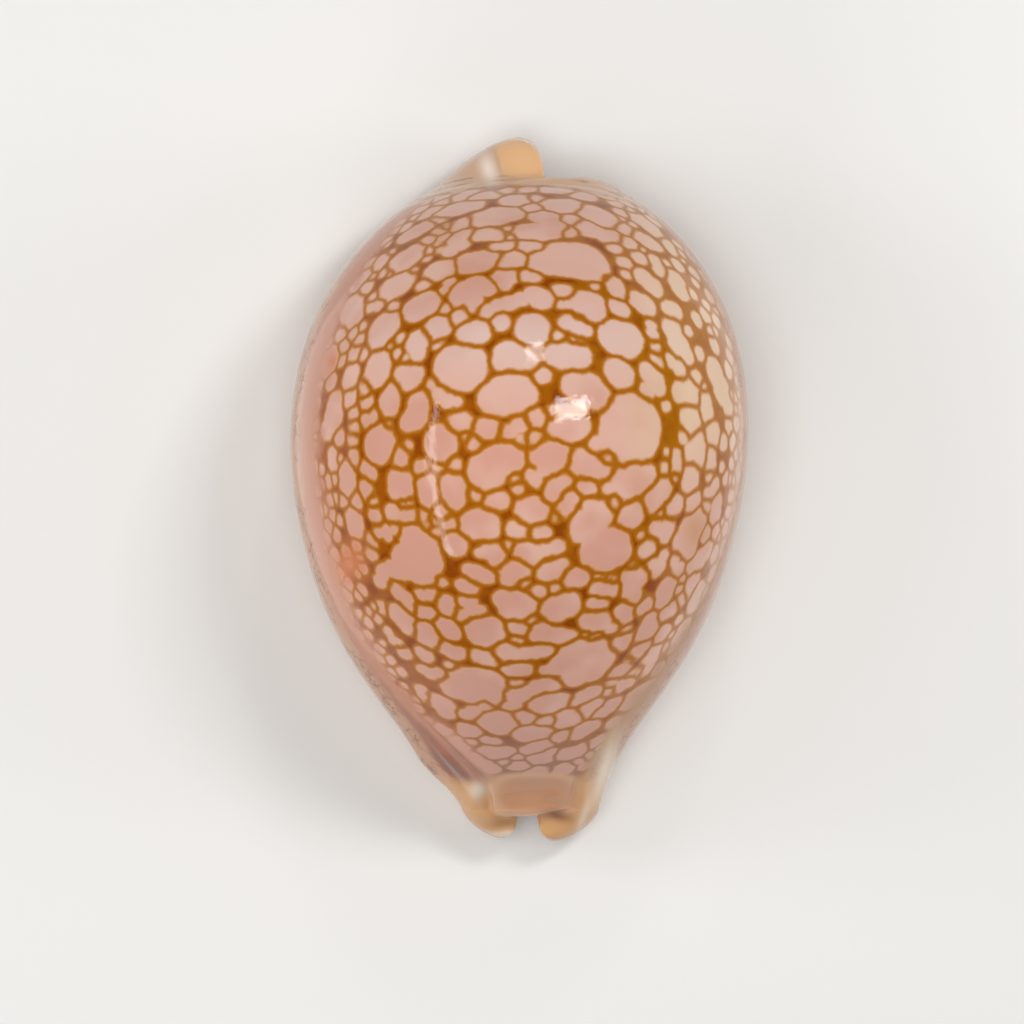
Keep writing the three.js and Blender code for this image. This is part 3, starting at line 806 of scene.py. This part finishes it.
def cameraPlace():
    half = view["picture"] / 2
    x = (half - view["centre"][0]) * view["pixel"]
    y = (view["centre"][1] - half) * view["pixel"]
    return np.array([x, y, view["level"] + view["distance"]])


# The circles in millimetres, with each centre dropped onto the back below the place where the camera sees it
def placedCircles(points, places, normals):
    eye = cameraPlace()
    onBack = (places[:, 2] == 0) & (abs(places[:, 0]) < marks["placedAround"])
    spots, upward = points[onBack], normals[onBack, 2]
    seen = eye[:2] + (spots[:, :2] - eye[:2]) * view["distance"] / (eye[2] - spots[:, 2:])
    circles = []
    mark = 0
    for region in handPlaced.values():
        for group in region:
            for x, y, radius in group:
                at = np.array([x - view["centre"][0], view["centre"][1] - y]) * view["pixel"]
                nearest = np.argmin(np.linalg.norm(seen - at, axis=1))
                z = spots[nearest, 2]
                flat = eye[:2] + (at - eye[:2]) * (eye[2] - z) / view["distance"]
                tilt = max(upward[nearest], marks["steepest"])
                circles.append((*flat, z, radius * view["pixel"] / math.sqrt(tilt), mark))
            mark += 1
    return circles


# Random marks fill what is left, from large to small. Each row is x, y, z, radius and the number of its mark
def packedCircles(placed, points, places):
    draw = np.random.default_rng(marks["seed"])
    nearest, farthest = marks["fillAround"]
    outside = (places[:, 2] == 0) & (places[:, 1] < marks["fillAlong"])
    outside &= (abs(places[:, 0]) > nearest) & (abs(places[:, 0]) < farthest)
    spots = points[outside]
    largest = np.where(places[outside, 0] < 0, marks["largest"]["left"], marks["largest"]["right"])
    circles = list(placed)
    mark = int(max(row[4] for row in circles)) + 1
    chance = np.sqrt(np.maximum(marks["leastChance"], 1 - places[outside, 1] ** 2))
    chance /= chance.sum()
    for size in marks["sizes"]:
        picks = draw.choice(len(spots), marks["tries"], p=chance)
        for pick in picks:
            limit = min(size, largest[pick])
            known = np.array(circles)
            room = (np.linalg.norm(known[:, :3] - spots[pick], axis=1) - known[:, 3]).min() - marks["gap"]
            if room >= limit * marks["smallestShare"]:
                circles.append((*spots[pick], min(room, limit), mark))
                mark += 1
    return np.array(circles)


# For each face, the circles nearest to it, as colours: a centre and a radius, which is negative where the
# circle belongs to the same mark as the one before it
def storeMarks(mesh, circles, points, places, faces):
    middles = points[faces].mean(axis=1)
    middlePlaces = places[faces].mean(axis=1)
    patterned = (middlePlaces[:, 2] < 0.5) & (abs(middlePlaces[:, 0]) < marks["storedAround"])
    centres, radii, owner = circles[:, :3], circles[:, 3], circles[:, 4]
    chosen = np.tile(np.float32(marks["nowhere"]), (len(faces), marks["perFace"], 1))
    rows = np.nonzero(patterned)[0]
    for part in np.array_split(rows, marks["batches"]):
        away = np.linalg.norm(middles[part, None] - centres[None], axis=2) - radii
        near = np.argpartition(away, marks["perFace"], axis=1)[:, : marks["perFace"]]
        order = np.argsort(owner[near], axis=1, kind="stable")
        near = np.take_along_axis(near, order, axis=1)
        same = np.zeros(near.shape, bool)
        same[:, 1:] = owner[near[:, 1:]] == owner[near[:, :-1]]
        chosen[part, :, :3] = centres[near]
        chosen[part, :, 3] = np.where(same, -radii[near], radii[near])
    for k in range(marks["perFace"]):
        layer = mesh.attributes.new(f"mark{k}", "FLOAT_COLOR", "FACE")
        layer.data.foreach_set("color", np.ascontiguousarray(chosen[:, k]).ravel())


# The glossy shell. Colours are linear, and the waves of its surface are in millimetres
shellFinish = {
    "netDark": (0.25, 0.05, 0.0),
    "netAmber": (0.33, 0.085, 0.0),
    "netOlive": (0.36, 0.12, 0.0),
    "netRed": (0.33, 0.08, 0.0),
    "netGold": (0.41, 0.145, 0.0),
    "netLine": (0.4, 0.125, 0.003),
    "netFaint": (0.33, 0.15, 0.085),
    "markEdge": (0.67, 0.37, 0.2),
    "markPink": (0.61, 0.31, 0.23),
    "markPale": (0.68, 0.4, 0.315),
    "markCream": (0.72, 0.51, 0.34),
    "markRose": (0.57, 0.3, 0.235),
    "markLavender": (0.72, 0.53, 0.47),
    "markSalmon": (0.6, 0.19, 0.075),
    "markTan": (0.58, 0.29, 0.16),
    "margin": (0.5, 0.21, 0.125),
    "marginRight": (0.45, 0.24, 0.12),
    "marginFront": (0.31, 0.115, 0.065),
    "marginOuter": (0.5, 0.26, 0.15),
    "marginLine": (0.22, 0.075, 0.02),
    "base": (0.76, 0.55, 0.4),
    "baseShade": (0.68, 0.42, 0.26),
    "tooth": (0.82, 0.68, 0.55),
    "toothGap": (0.55, 0.27, 0.11),
    "hollow": (0.5, 0.36, 0.4),
    "collar": (0.6, 0.37, 0.23),
    "collarLine": (0.24, 0.1, 0.04),
    "spireTip": (0.76, 0.45, 0.23),
    # painted highlight: the whitish glow where the spire groove catches the light
    "spireGrooveAndHighlight": (0.86, 0.73, 0.63),
    "spireFold": (0.42, 0.25, 0.15),
    "plateau": (0.52, 0.265, 0.15),
    "plateauRim": (0.61, 0.34, 0.2),
    "frontTan": (0.62, 0.34, 0.16),
    # painted shade: dark brown for the shaded band on the left prong and the shaded crescent hollow
    "prongShade": (0.25, 0.11, 0.05),
    # cream of the right ridge and the right prong's rim, also used for painted highlights on the left
    # shoulder and along the left prong's lower edge
    "cream": (0.79, 0.66, 0.53),
    "pinkBand": (0.36, 0.13, 0.085),
    # painted shadow: the grey line in the crease at the left front
    "creaseShadeGrey": (0.22, 0.17, 0.15),
    "roughness": 0.05,
    "ior": 1.4,
    "waves": ({"scale": 0.16, "detail": 2.0, "height": 0.1}, {"scale": 1.6, "detail": 3.0, "height": 0.016}),
}

# How the net and its marks are drawn, in millimetres. Each pair says where a change begins and where it ends
pattern = {
    "lineHalf": 0.225,  # half a line where marks lie close together
    "middleLine": 0.11,  # what is added to it on the middle of the back
    "middleFront": (-29.0, -21.0),
    "middleSpire": (8.0, 26.0),
    "middleSide": (0.2, 0.32),
    "growth": 0.08,  # how far marks may grow past their circles, with more at the sides and the spire
    "sideGrowth": 0.24,
    "spireGrowth": 0.5,
    "crowdedSide": (0.22, 0.34),
    "crowdedSpire": (26.0, 35.0),
    "front": (-32.0, -20.0),
    "softness": 0.22,
    "corner": 0.12,
    "joining": 0.45,
    "rounding": 0.2,
    "setAside": 50.0,  # this moves a circle away once it has joined the one before it
    "leastOther": 1e-6,
    "drifts": ((0.3, 1.0, 0.5), (1.1, 1.0, 0.35)),
    "tint": {"scale": 0.12, "lean": 0.005, "span": (0.4, 0.66)},
    "creamX": (9.0, 20.0),
    "creamY": (-4.0, 10.0),
    "creamMarks": 0.85,
    "goldNet": 0.7,
    "rosy": 0.6,
    "lavender": 0.7,
    "markRim": (-0.05, 0.34),
    "olive": (-4.0, 18.0),
    "red": (-22.0, -10.0),
    "clouds": {"scale": 0.45, "span": (0.38, 0.62)},
    "lineToNet": (0.2, 0.55),
    "faint": {"span": (-32.5, -27.5), "share": 0.9},
}

# The margins, by how far round a section a point lies (0 at the top, 1 at the slit) and how far to the front
margins = {
    "left": {"at": 0.33, "taper": 0.3, "power": 3.2, "soft": 0.025},
    "right": {"at": 0.4, "taper": 0.2, "power": 1.5, "soft": 0.04},
    "ragged": (0.5, 3.0, 0.07),
    "leftToRight": (-0.2, 0.2),
    "outer": (0.385, 0.42),
    "outerTaper": 0.14,
    "outerPower": 2.0,
    "reddishFront": (0.35, 0.75),
    "reddishBeyond": (0.03, 0.07),
    "netDrift": (0.6, 2.0, 2.4),
    "netStretch": (1.0, 0.55, 1.0),
    "netScale": 0.8,
    "netLine": (0.02, 0.16),
    "netClouds": {"scale": 0.25, "span": (0.36, 0.62)},
    "netFade": (0.45, 0.56),
    "netLeft": 0.85,
    "lessOnRight": 0.35,
}

# The two ends: the fine lines of the collar, and where the upper side of the ends stops
ends = {
    "wobble": (0.5, 2.0, 0.7),
    "collarFrom": (35.7, 36.5),
    "collarLine": (0.03, 0.16),
    "collarBreaks": {"scale": 0.35, "span": (0.42, 0.6)},
    "collarStrength": 0.6,
    "tanFront": (-35.6, -33.6),
    "tanWobble": 2.0,
    "topLevel": (2.0, 3.2),
    "topAlong": (0.93, 0.95),
    "topAround": (0.6, 0.7),
}

# The base, the lips and the hollow, by how far round and how far in a point lies
underside = {
    "baseFade": (0.5, 0.6),
    "tintScale": 0.2,
    "slitStart": (0.04, 0.2),
    "slitEnd": (0.6, 0.8),
    "slitAround": (0.55, 0.7),
    "toothEdge": (0.05, 0.5),
    "hollow": (0.7, 0.95),
    "hollowAlong": (0.93, 0.8),
}

# Patches and panels of colour, in millimetres seen from above. A turn is in degrees
zones = {
    "plateau": {"x": (-2.3, 6.2), "y": (-38.4, -34.4), "soft": 0.75},
    "plateauRim": {"x": (-3.4, 7.0), "y": (-39.5, -33.8), "soft": 0.5},
    "spireTip": {"x": (-2.7, 4.6), "y": (37.0, 47.0), "soft": 0.7},
    # painted highlight along the spire groove
    "spireGrooveAndHighlight": {"at": (-3.7, 38.2), "half": (1.0, 1.9), "turn": 18},
    "spireFold": {"at": (-2.5, 38.8), "half": (0.25, 2.0), "turn": 16},
    "creamRidge": {"at": (10.1, -33.8), "half": (1.1, 4.2), "turn": -15},
    "rightRim": {"at": (7.7, -39.2), "half": (0.45, 2.4), "turn": -20},
    "pinkBand": {"at": (-7.7, -32.1), "half": (0.75, 4.6), "turn": 48},
    "paleBand": {"at": (-6.5, -31.2), "half": (0.85, 5.2), "turn": 45},
    # painted shadow line in the crease where the body meets the left shoulder
    "greyCreaseShade": {"at": (-7.9, -33.3), "half": (0.35, 3.4), "turn": 55},
    "foldLine": {"at": (-7.5, -31.1), "half": (0.16, 4.6), "turn": 45.5},
    # painted highlight on the left shoulder bump
    "leftShoulderHighlight": {"at": (-5.0, -36.0), "half": (1.0, 1.0), "turn": 0},
    # painted highlight along the lit lower edge of the left prong
    "leftEdgeHighlight": {"at": (-1.8, -41.4), "half": (2.2, 0.5), "turn": 4},
    # painted shade on the left prong, between the plateau rim and the prong's lower edge
    "leftProngShade": {"at": (-2.0, -40.0), "half": (2.4, 0.8), "turn": 6},
    # painted shadow in the crescent hollow behind the right prong
    "crescentHollowAndShade": {"at": (4.6, -39.1), "half": (1.7, 0.7), "turn": -14},
    "salmon": {"at": (-20.0, -8.8), "half": (1.7, 2.3), "turn": -20},
    "salmonUp": {"at": (-22.4, 15.2), "half": (1.3, 1.6), "turn": 0},
    "lavender": {"at": (1.0, 17.8), "half": (18.0, 4.0), "turn": 0},
    "tan": {"at": (20.7, -4.9), "half": (1.9, 2.6), "turn": -15},
}
panelPower = 4.0

# What lies on the ends, from the lowest layer to the highest, with its colour and how strongly it covers
endLayers = (
    ("spireTip", "spireTip", 1.0),
    # painted highlight in the spire groove
    ("spireGrooveAndHighlight", "spireGrooveAndHighlight", 0.9),
    ("spireFold", "spireFold", 0.35),
    ("salmon", "markSalmon", 0.9),
    ("paleBand", "markPink", 1.0),
    ("pinkBand", "pinkBand", 0.85),
    # painted shadow in the left crease
    ("greyCreaseShade", "creaseShadeGrey", 0.6),
    ("foldLine", "collarLine", 0.5),
    ("plateauRim", "plateauRim", 1.0),
    ("plateau", "plateau", 1.0),
    ("creamRidge", "cream", 1.0),
    # painted highlight on the left shoulder
    ("leftShoulderHighlight", "cream", 0.9),
    # painted shade on the left prong
    ("leftProngShade", "prongShade", 0.45),
    # painted highlight on the left prong's lower edge
    ("leftEdgeHighlight", "cream", 0.8),
    # painted shadow in the crescent hollow
    ("crescentHollowAndShade", "prongShade", 0.85),
    ("rightRim", "cream", 0.6),
)


def markField(make, where):
    fields = []
    sames = []
    for k in range(marks["perFace"]):
        name = {"attribute_name": f"mark{k}"}
        centre = make.add("ShaderNodeAttribute", name, {}, "Vector")
        radius = Wire(make, centre.socket.node.outputs["Alpha"])
        fields.append(make.length(where - centre) - abs(radius))
        sames.append(make.math("LESS_THAN", radius, 0.0))
    for k in range(marks["perFace"] - 1, 0, -1):
        joined = make.math("SMOOTH_MIN", fields[k - 1], fields[k], pattern["joining"])
        fields[k - 1] = fields[k - 1] + sames[k] * (joined - fields[k - 1])
        fields[k] = fields[k] + sames[k] * pattern["setAside"]
    return fields


# How deep a point lies inside its mark, in millimetres, and below 0 in the net between marks
def netDepth(make, where, growth, lineHalf):
    fields = markField(make, where)
    nearest = fields[0]
    for field in fields[1:]:
        nearest = make.math("MINIMUM", nearest, field)
    total = None
    for field in fields:
        part = make.math("EXPONENT", (nearest - field) / pattern["corner"])
        total = part if total is None else total + part
    others = make.math("MAXIMUM", total - 1, pattern["leastOther"])
    gap = make.math("LOGARITHM", others, math.e) * (-0.5 * pattern["corner"])
    return make.math("SMOOTH_MIN", gap - lineHalf, growth - nearest, pattern["rounding"])


# A soft oval patch seen from above, 1 in its middle
def patch(make, x, y, form):
    turn = math.radians(form["turn"])
    dx, dy = x - form["at"][0], y - form["at"][1]
    first = (dx * math.cos(turn) + dy * math.sin(turn)) / form["half"][0]
    second = (dy * math.cos(turn) - dx * math.sin(turn)) / form["half"][1]
    return make.math("EXPONENT", (first * first + second * second) * -1.0)


# A rectangle seen from above with round corners and soft edges
def panel(make, x, y, form):
    share = 0.0
    for place, (low, high) in ((x, form["x"]), (y, form["y"])):
        share = share + abs((place - (low + high) / 2) / ((high - low) / 2)) ** panelPower
    return 1 - make.ramp(share, 1 - form["soft"], 1 + form["soft"])


def zoneShare(make, x, y, name):
    form = zones[name]
    shape = patch if "at" in form else panel
    return shape(make, x, y, form)


# Where marks are crowded they grow toward each other, and the net's lines are wider on the middle of the back
def backDepth(make, position, y, around, front):
    warped = position
    for drift in pattern["drifts"]:
        warped = warped + make.drift(position, *drift)
    side = abs(around)
    crowded = make.math("MAXIMUM", make.ramp(side, *pattern["crowdedSide"]), front) * pattern["sideGrowth"]
    atSpire = make.ramp(y, *pattern["crowdedSpire"]) * pattern["spireGrowth"]
    growth = make.math("MAXIMUM", crowded, atSpire) + pattern["growth"]
    middle = make.ramp(y, *pattern["middleFront"]) * (1 - make.ramp(y, *pattern["middleSpire"]))
    middle = middle * (1 - make.ramp(side, *pattern["middleSide"]))
    lineHalf = middle * pattern["middleLine"] + pattern["lineHalf"]
    return netDepth(make, warped, growth, lineHalf)


def markColor(make, position, x, y, depth, front, creamy):
    tint = pattern["tint"]
    paler = make.noise(position, tint["scale"]) + x * tint["lean"] + y * tint["lean"]
    pale = make.blend(make.ramp(paler, *tint["span"]), shellFinish["markPink"], shellFinish["markPale"])
    pale = make.blend(creamy * pattern["creamMarks"], pale, shellFinish["markCream"])
    pale = make.blend(front * pattern["rosy"], pale, shellFinish["markRose"])
    lavender = zoneShare(make, x, y, "lavender") * pattern["lavender"]
    pale = make.blend(lavender, pale, shellFinish["markLavender"])
    for zone, color in (("salmon", "markSalmon"), ("salmonUp", "markSalmon"), ("tan", "markTan")):
        pale = make.blend(zoneShare(make, x, y, zone), pale, shellFinish[color])
    rim = make.blend(front * pattern["rosy"], shellFinish["markEdge"], shellFinish["markPink"])
    return make.blend(make.ramp(depth, *pattern["markRim"]), rim, pale)


def netColor(make, position, x, y, depth, creamy):
    amber = make.blend(make.ramp(x, *pattern["olive"]), shellFinish["netAmber"], shellFinish["netOlive"])
    amber = make.blend(1 - make.ramp(x, *pattern["red"]), amber, shellFinish["netRed"])
    net = make.blend(make.clouds(position, pattern["clouds"]), shellFinish["netDark"], amber)
    net = make.blend(make.ramp(-depth, *pattern["lineToNet"]), shellFinish["netLine"], net)
    net = make.blend(creamy * pattern["goldNet"], net, shellFinish["netGold"])
    far = 1 - make.ramp(y, *pattern["faint"]["span"])
    return make.blend(far * pattern["faint"]["share"], net, shellFinish["netFaint"])


def backColor(make, position, x, y, around):
    front = 1 - make.ramp(y, *pattern["front"])
    depth = backDepth(make, position, y, around, front)
    creamy = make.ramp(x, *pattern["creamX"]) * make.ramp(y, *pattern["creamY"])
    mark = markColor(make, position, x, y, depth, front, creamy)
    net = netColor(make, position, x, y, depth, creamy)
    return make.blend(make.ramp(depth, -pattern["softness"], pattern["softness"]), net, mark)


# How far a point lies beyond the edge between the pattern and the margin, which widens toward the front
def beyondEdge(make, reach, along, form):
    front = make.math("MAXIMUM", -along, 0.0) ** form["power"]
    return reach + front * form["taper"] - form["at"]


def marginShare(make, beyond, form):
    return make.ramp(beyond, -form["soft"], form["soft"])


# Plain toward the pattern, and with a fine broken brown net toward the base
def marginColor(make, position, around, along, beyond):
    front = make.math("MAXIMUM", -along, 0.0)
    outer = make.ramp(abs(around) + front ** margins["outerPower"] * margins["outerTaper"], *margins["outer"])
    onRight = make.ramp(around, *margins["leftToRight"])
    plain = make.blend(onRight, shellFinish["margin"], shellFinish["marginRight"])
    reddish = make.ramp(-along, *margins["reddishFront"]) * make.ramp(beyond, *margins["reddishBeyond"])
    plain = make.blend(reddish, plain, shellFinish["marginFront"])
    plain = make.blend(outer, plain, shellFinish["marginOuter"])
    stretched = (position + make.drift(position, *margins["netDrift"])) * margins["netStretch"]
    sockets = {"Vector": stretched, "Scale": margins["netScale"]}
    cells = make.add("ShaderNodeTexVoronoi", {"feature": "DISTANCE_TO_EDGE"}, sockets)
    lines = (1 - make.ramp(cells, *margins["netLine"])) * make.clouds(position, margins["netClouds"]) * outer
    lines = lines * (1 - make.ramp(abs(around), *margins["netFade"]))
    lines = lines * (margins["netLeft"] - onRight * margins["lessOnRight"])
    return make.blend(lines, plain, shellFinish["marginLine"])


def endColors(make, skin, position, x, y, onTop):
    wobble = make.waver(position, *ends["wobble"])
    arc = y + x * x * wrinkles["bend"]
    lines = None
    for level in wrinkles["levels"]:
        line = 1 - make.ramp(abs(arc + wobble - level), *ends["collarLine"])
        lines = line if lines is None else make.math("MAXIMUM", lines, line)
    lines = lines * make.clouds(position, ends["collarBreaks"]) * ends["collarStrength"]
    collar = make.blend(lines, shellFinish["collar"], shellFinish["collarLine"])
    skin = make.blend(make.ramp(arc + wobble, *ends["collarFrom"]), skin, collar)
    atFront = 1 - make.ramp(y + wobble * ends["tanWobble"], *ends["tanFront"])
    skin = make.blend(atFront, skin, shellFinish["frontTan"])
    for zone, color, strength in endLayers:
        share = zoneShare(make, x, y, zone) * onTop * strength
        skin = make.blend(share, skin, shellFinish[color])
    return skin


# The pale base, then the lips with their teeth, then the hollow behind them
def undersideColor(make, skin, position, around, along, inner, onBase):
    tint = make.noise(position, underside["tintScale"])
    skin = make.blend(onBase, skin, make.blend(tint, shellFinish["base"], shellFinish["baseShade"]))
    ridge = make.add("ShaderNodeAttribute", {"attribute_name": "toothRidge"}, {}, "Fac")
    nearSlit = make.ramp(inner, *underside["slitStart"]) * (1 - make.ramp(inner, *underside["slitEnd"]))
    nearSlit = nearSlit * make.ramp(abs(around), *underside["slitAround"])
    lip = make.blend(make.ramp(ridge, *underside["toothEdge"]), shellFinish["toothGap"], shellFinish["tooth"])
    skin = make.blend(nearSlit, skin, lip)
    deep = make.ramp(inner, *underside["hollow"]) * make.ramp(abs(along), *underside["hollowAlong"])
    return make.blend(deep, skin, shellFinish["hollow"])


def newMaterial(name):
    material = bpy.data.materials.new(name)
    material.use_nodes = True
    return material, Maker(material.node_tree)


def finishMaterial(make, surface):
    shader = make.add("ShaderNodeBsdfPrincipled", {}, surface, "BSDF")
    make.add("ShaderNodeOutputMaterial", {}, {"Surface": shader})


def shellMaterial():
    material, make = newMaterial("cowrie porcelain")
    position = make.add("ShaderNodeTexCoord", {}, {}, "Object") * (1 / mm)
    place = make.add("ShaderNodeAttribute", {"attribute_name": "shellPlace"}, {}, "Vector")
    around, along, inner = make.parts(place)
    x, y, z = make.parts(position)
    ragged = make.waver(position, *margins["ragged"])
    skin = backColor(make, position, x, y, around)
    leftReach = beyondEdge(make, -around + ragged, along, margins["left"])
    rightReach = beyondEdge(make, around + ragged, along, margins["right"])
    onLeft = marginShare(make, leftReach, margins["left"])
    onMargin = make.math("MAXIMUM", onLeft, marginShare(make, rightReach, margins["right"]))
    skin = make.blend(onMargin, skin, marginColor(make, position, around, along, leftReach))
    onTop = make.ramp(z, *ends["topLevel"]) * make.ramp(abs(along), *ends["topAlong"])
    onTop = make.math("MAXIMUM", onTop, 1 - make.ramp(abs(around), *ends["topAround"]))
    skin = endColors(make, skin, position, x, y, onTop)
    onBase = make.ramp(abs(around) + ragged, *underside["baseFade"]) * (1 - onTop)
    skin = undersideColor(make, skin, position, around, along, inner, onBase)
    height = 0.0
    for wave in shellFinish["waves"]:
        height = height + make.noise(position, wave["scale"], wave["detail"]) * wave["height"]
    bump = make.add("ShaderNodeBump", {}, {"Strength": 1.0, "Distance": mm, "Height": height})
    surface = {
        "Base Color": skin,
        "Roughness": shellFinish["roughness"],
        "IOR": shellFinish["ior"],
        "Normal": bump,
    }
    finishMaterial(make, surface)
    return material


def addObject(name, data):
    piece = bpy.data.objects.new(name, data)
    bpy.context.collection.objects.link(piece)
    return piece


def buildShell():
    points, places = shellPoints()
    faces = shellFaces()
    mesh = makeMesh("shell", points, faces)
    print("shell mesh:", len(points), "points", len(faces), "faces")
    layer = mesh.attributes.new("shellPlace", "FLOAT_VECTOR", "POINT")
    layer.data.foreach_set("vector", places.astype(np.float32).ravel())
    normals = np.empty(len(points) * 3, np.float32)
    mesh.vertex_normals.foreach_get("vector", normals)
    placed = placedCircles(points, places, normals.reshape(-1, 3))
    circles = packedCircles(placed, points, places)
    print("circles on the back:", len(placed), "by hand", len(circles) - len(placed), "filled in")
    storeMarks(mesh, circles, points, places, faces)
    shell = addObject("shellBody", mesh)
    cutTeeth(shell, shellMaterial())
    print("shell with teeth:", len(shell.data.polygons), "faces")
    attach(shell, "root")
    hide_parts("shell")


# Soft studio light over a pale floor. The floor is in metres. Each light has its place, the point it faces
# and its two sizes in millimetres, and its power
studio = {
    "floor": {"half": 1.2, "color": (0.8, 0.79, 0.77), "roughness": 0.7},
    "world": {"color": (1, 1, 1), "strength": 0.13},
    "lights": {
        "keySoftbox": {"at": (185, 165, 380), "toward": (0, 0, 20), "size": (130, 75), "power": 0.62},
        "topSoftbox": {"at": (50, 350, 330), "toward": (0, 0, 20), "size": (60, 60), "power": 0.14},
        "leftWindow": {"at": (-290, -70, 310), "toward": (0, -20, 20), "size": (26, 560), "power": 0.27},
        "leftStrip": {"at": (-50, -40, 1), "toward": (-50, -40, 50), "size": (25, 160), "power": 0.006},
        "rightStrip": {"at": (44, -30, 1), "toward": (44, -30, 50), "size": (14, 150), "power": 0.003},
        "overheadFill": {"at": (-60, -60, 700), "toward": (0, 0, 20), "size": (300, 300), "power": 1.75},
        "frontFill": {"at": (-150, -390, 240), "toward": (0, 0, 20), "size": (200, 200), "power": 0.4},
        "leftFill": {"at": (-370, 60, 170), "toward": (0, 0, 20), "size": (150, 150), "power": 0.42},
        "rightFill": {"at": (370, 20, 170), "toward": (0, 0, 20), "size": (150, 150), "power": 0.36},
    },
    "softOnly": ("overheadFill", "frontFill", "leftFill", "rightFill"),  # kept out of the reflections
}


def buildFloor():
    half = studio["floor"]["half"]
    corners = [(-half, -half, 0), (half, -half, 0), (half, half, 0), (-half, half, 0)]
    mesh = bpy.data.meshes.new("floor")
    mesh.from_pydata(corners, [], [(0, 1, 2, 3)])
    material, make = newMaterial("pale floor")
    finishMaterial(make, {"Base Color": studio["floor"]["color"], "Roughness": studio["floor"]["roughness"]})
    mesh.materials.append(material)
    addObject("floor", mesh)
    print("floor done")


def buildLights():
    for name, light in studio["lights"].items():
        lamp = bpy.data.lights.new(name, "AREA")
        lamp.shape = "RECTANGLE"
        lamp.size, lamp.size_y = (side * mm for side in light["size"])
        lamp.energy = light["power"]
        holder = addObject(name, lamp)
        holder.location = Vector(light["at"]) * mm
        backward = (Vector(light["at"]) - Vector(light["toward"])).normalized()
        across = Vector((0, 1, 0)).cross(backward).normalized()
        turned = Matrix((across, backward.cross(across), backward)).transposed()
        holder.rotation_euler = turned.to_euler()
        holder.visible_camera = False
        holder.visible_glossy = name not in studio["softOnly"]
    world = bpy.data.worlds.new("studio")
    world.use_nodes = True
    sky = Maker(world.node_tree)
    sockets = {"Color": studio["world"]["color"], "Strength": studio["world"]["strength"]}
    light = sky.add("ShaderNodeBackground", {}, sockets)
    sky.add("ShaderNodeOutputWorld", {}, {"Surface": light})
    bpy.context.scene.world = world
    print("lights:", len(studio["lights"]))


def buildCamera():
    lens = bpy.data.cameras.new("camera")
    lens.sensor_width = view["sensor"]
    lens.lens = view["sensor"] * view["distance"] / (view["picture"] * view["pixel"])
    lens.clip_end = view["farthest"]
    camera = addObject("camera", lens)
    camera.location = Vector(cameraPlace()) * mm
    bpy.context.scene.camera = camera
    print("camera done")


buildShell()
buildFloor()
buildLights()
buildCamera()
bpy.context.scene.view_settings.view_transform = "Standard"
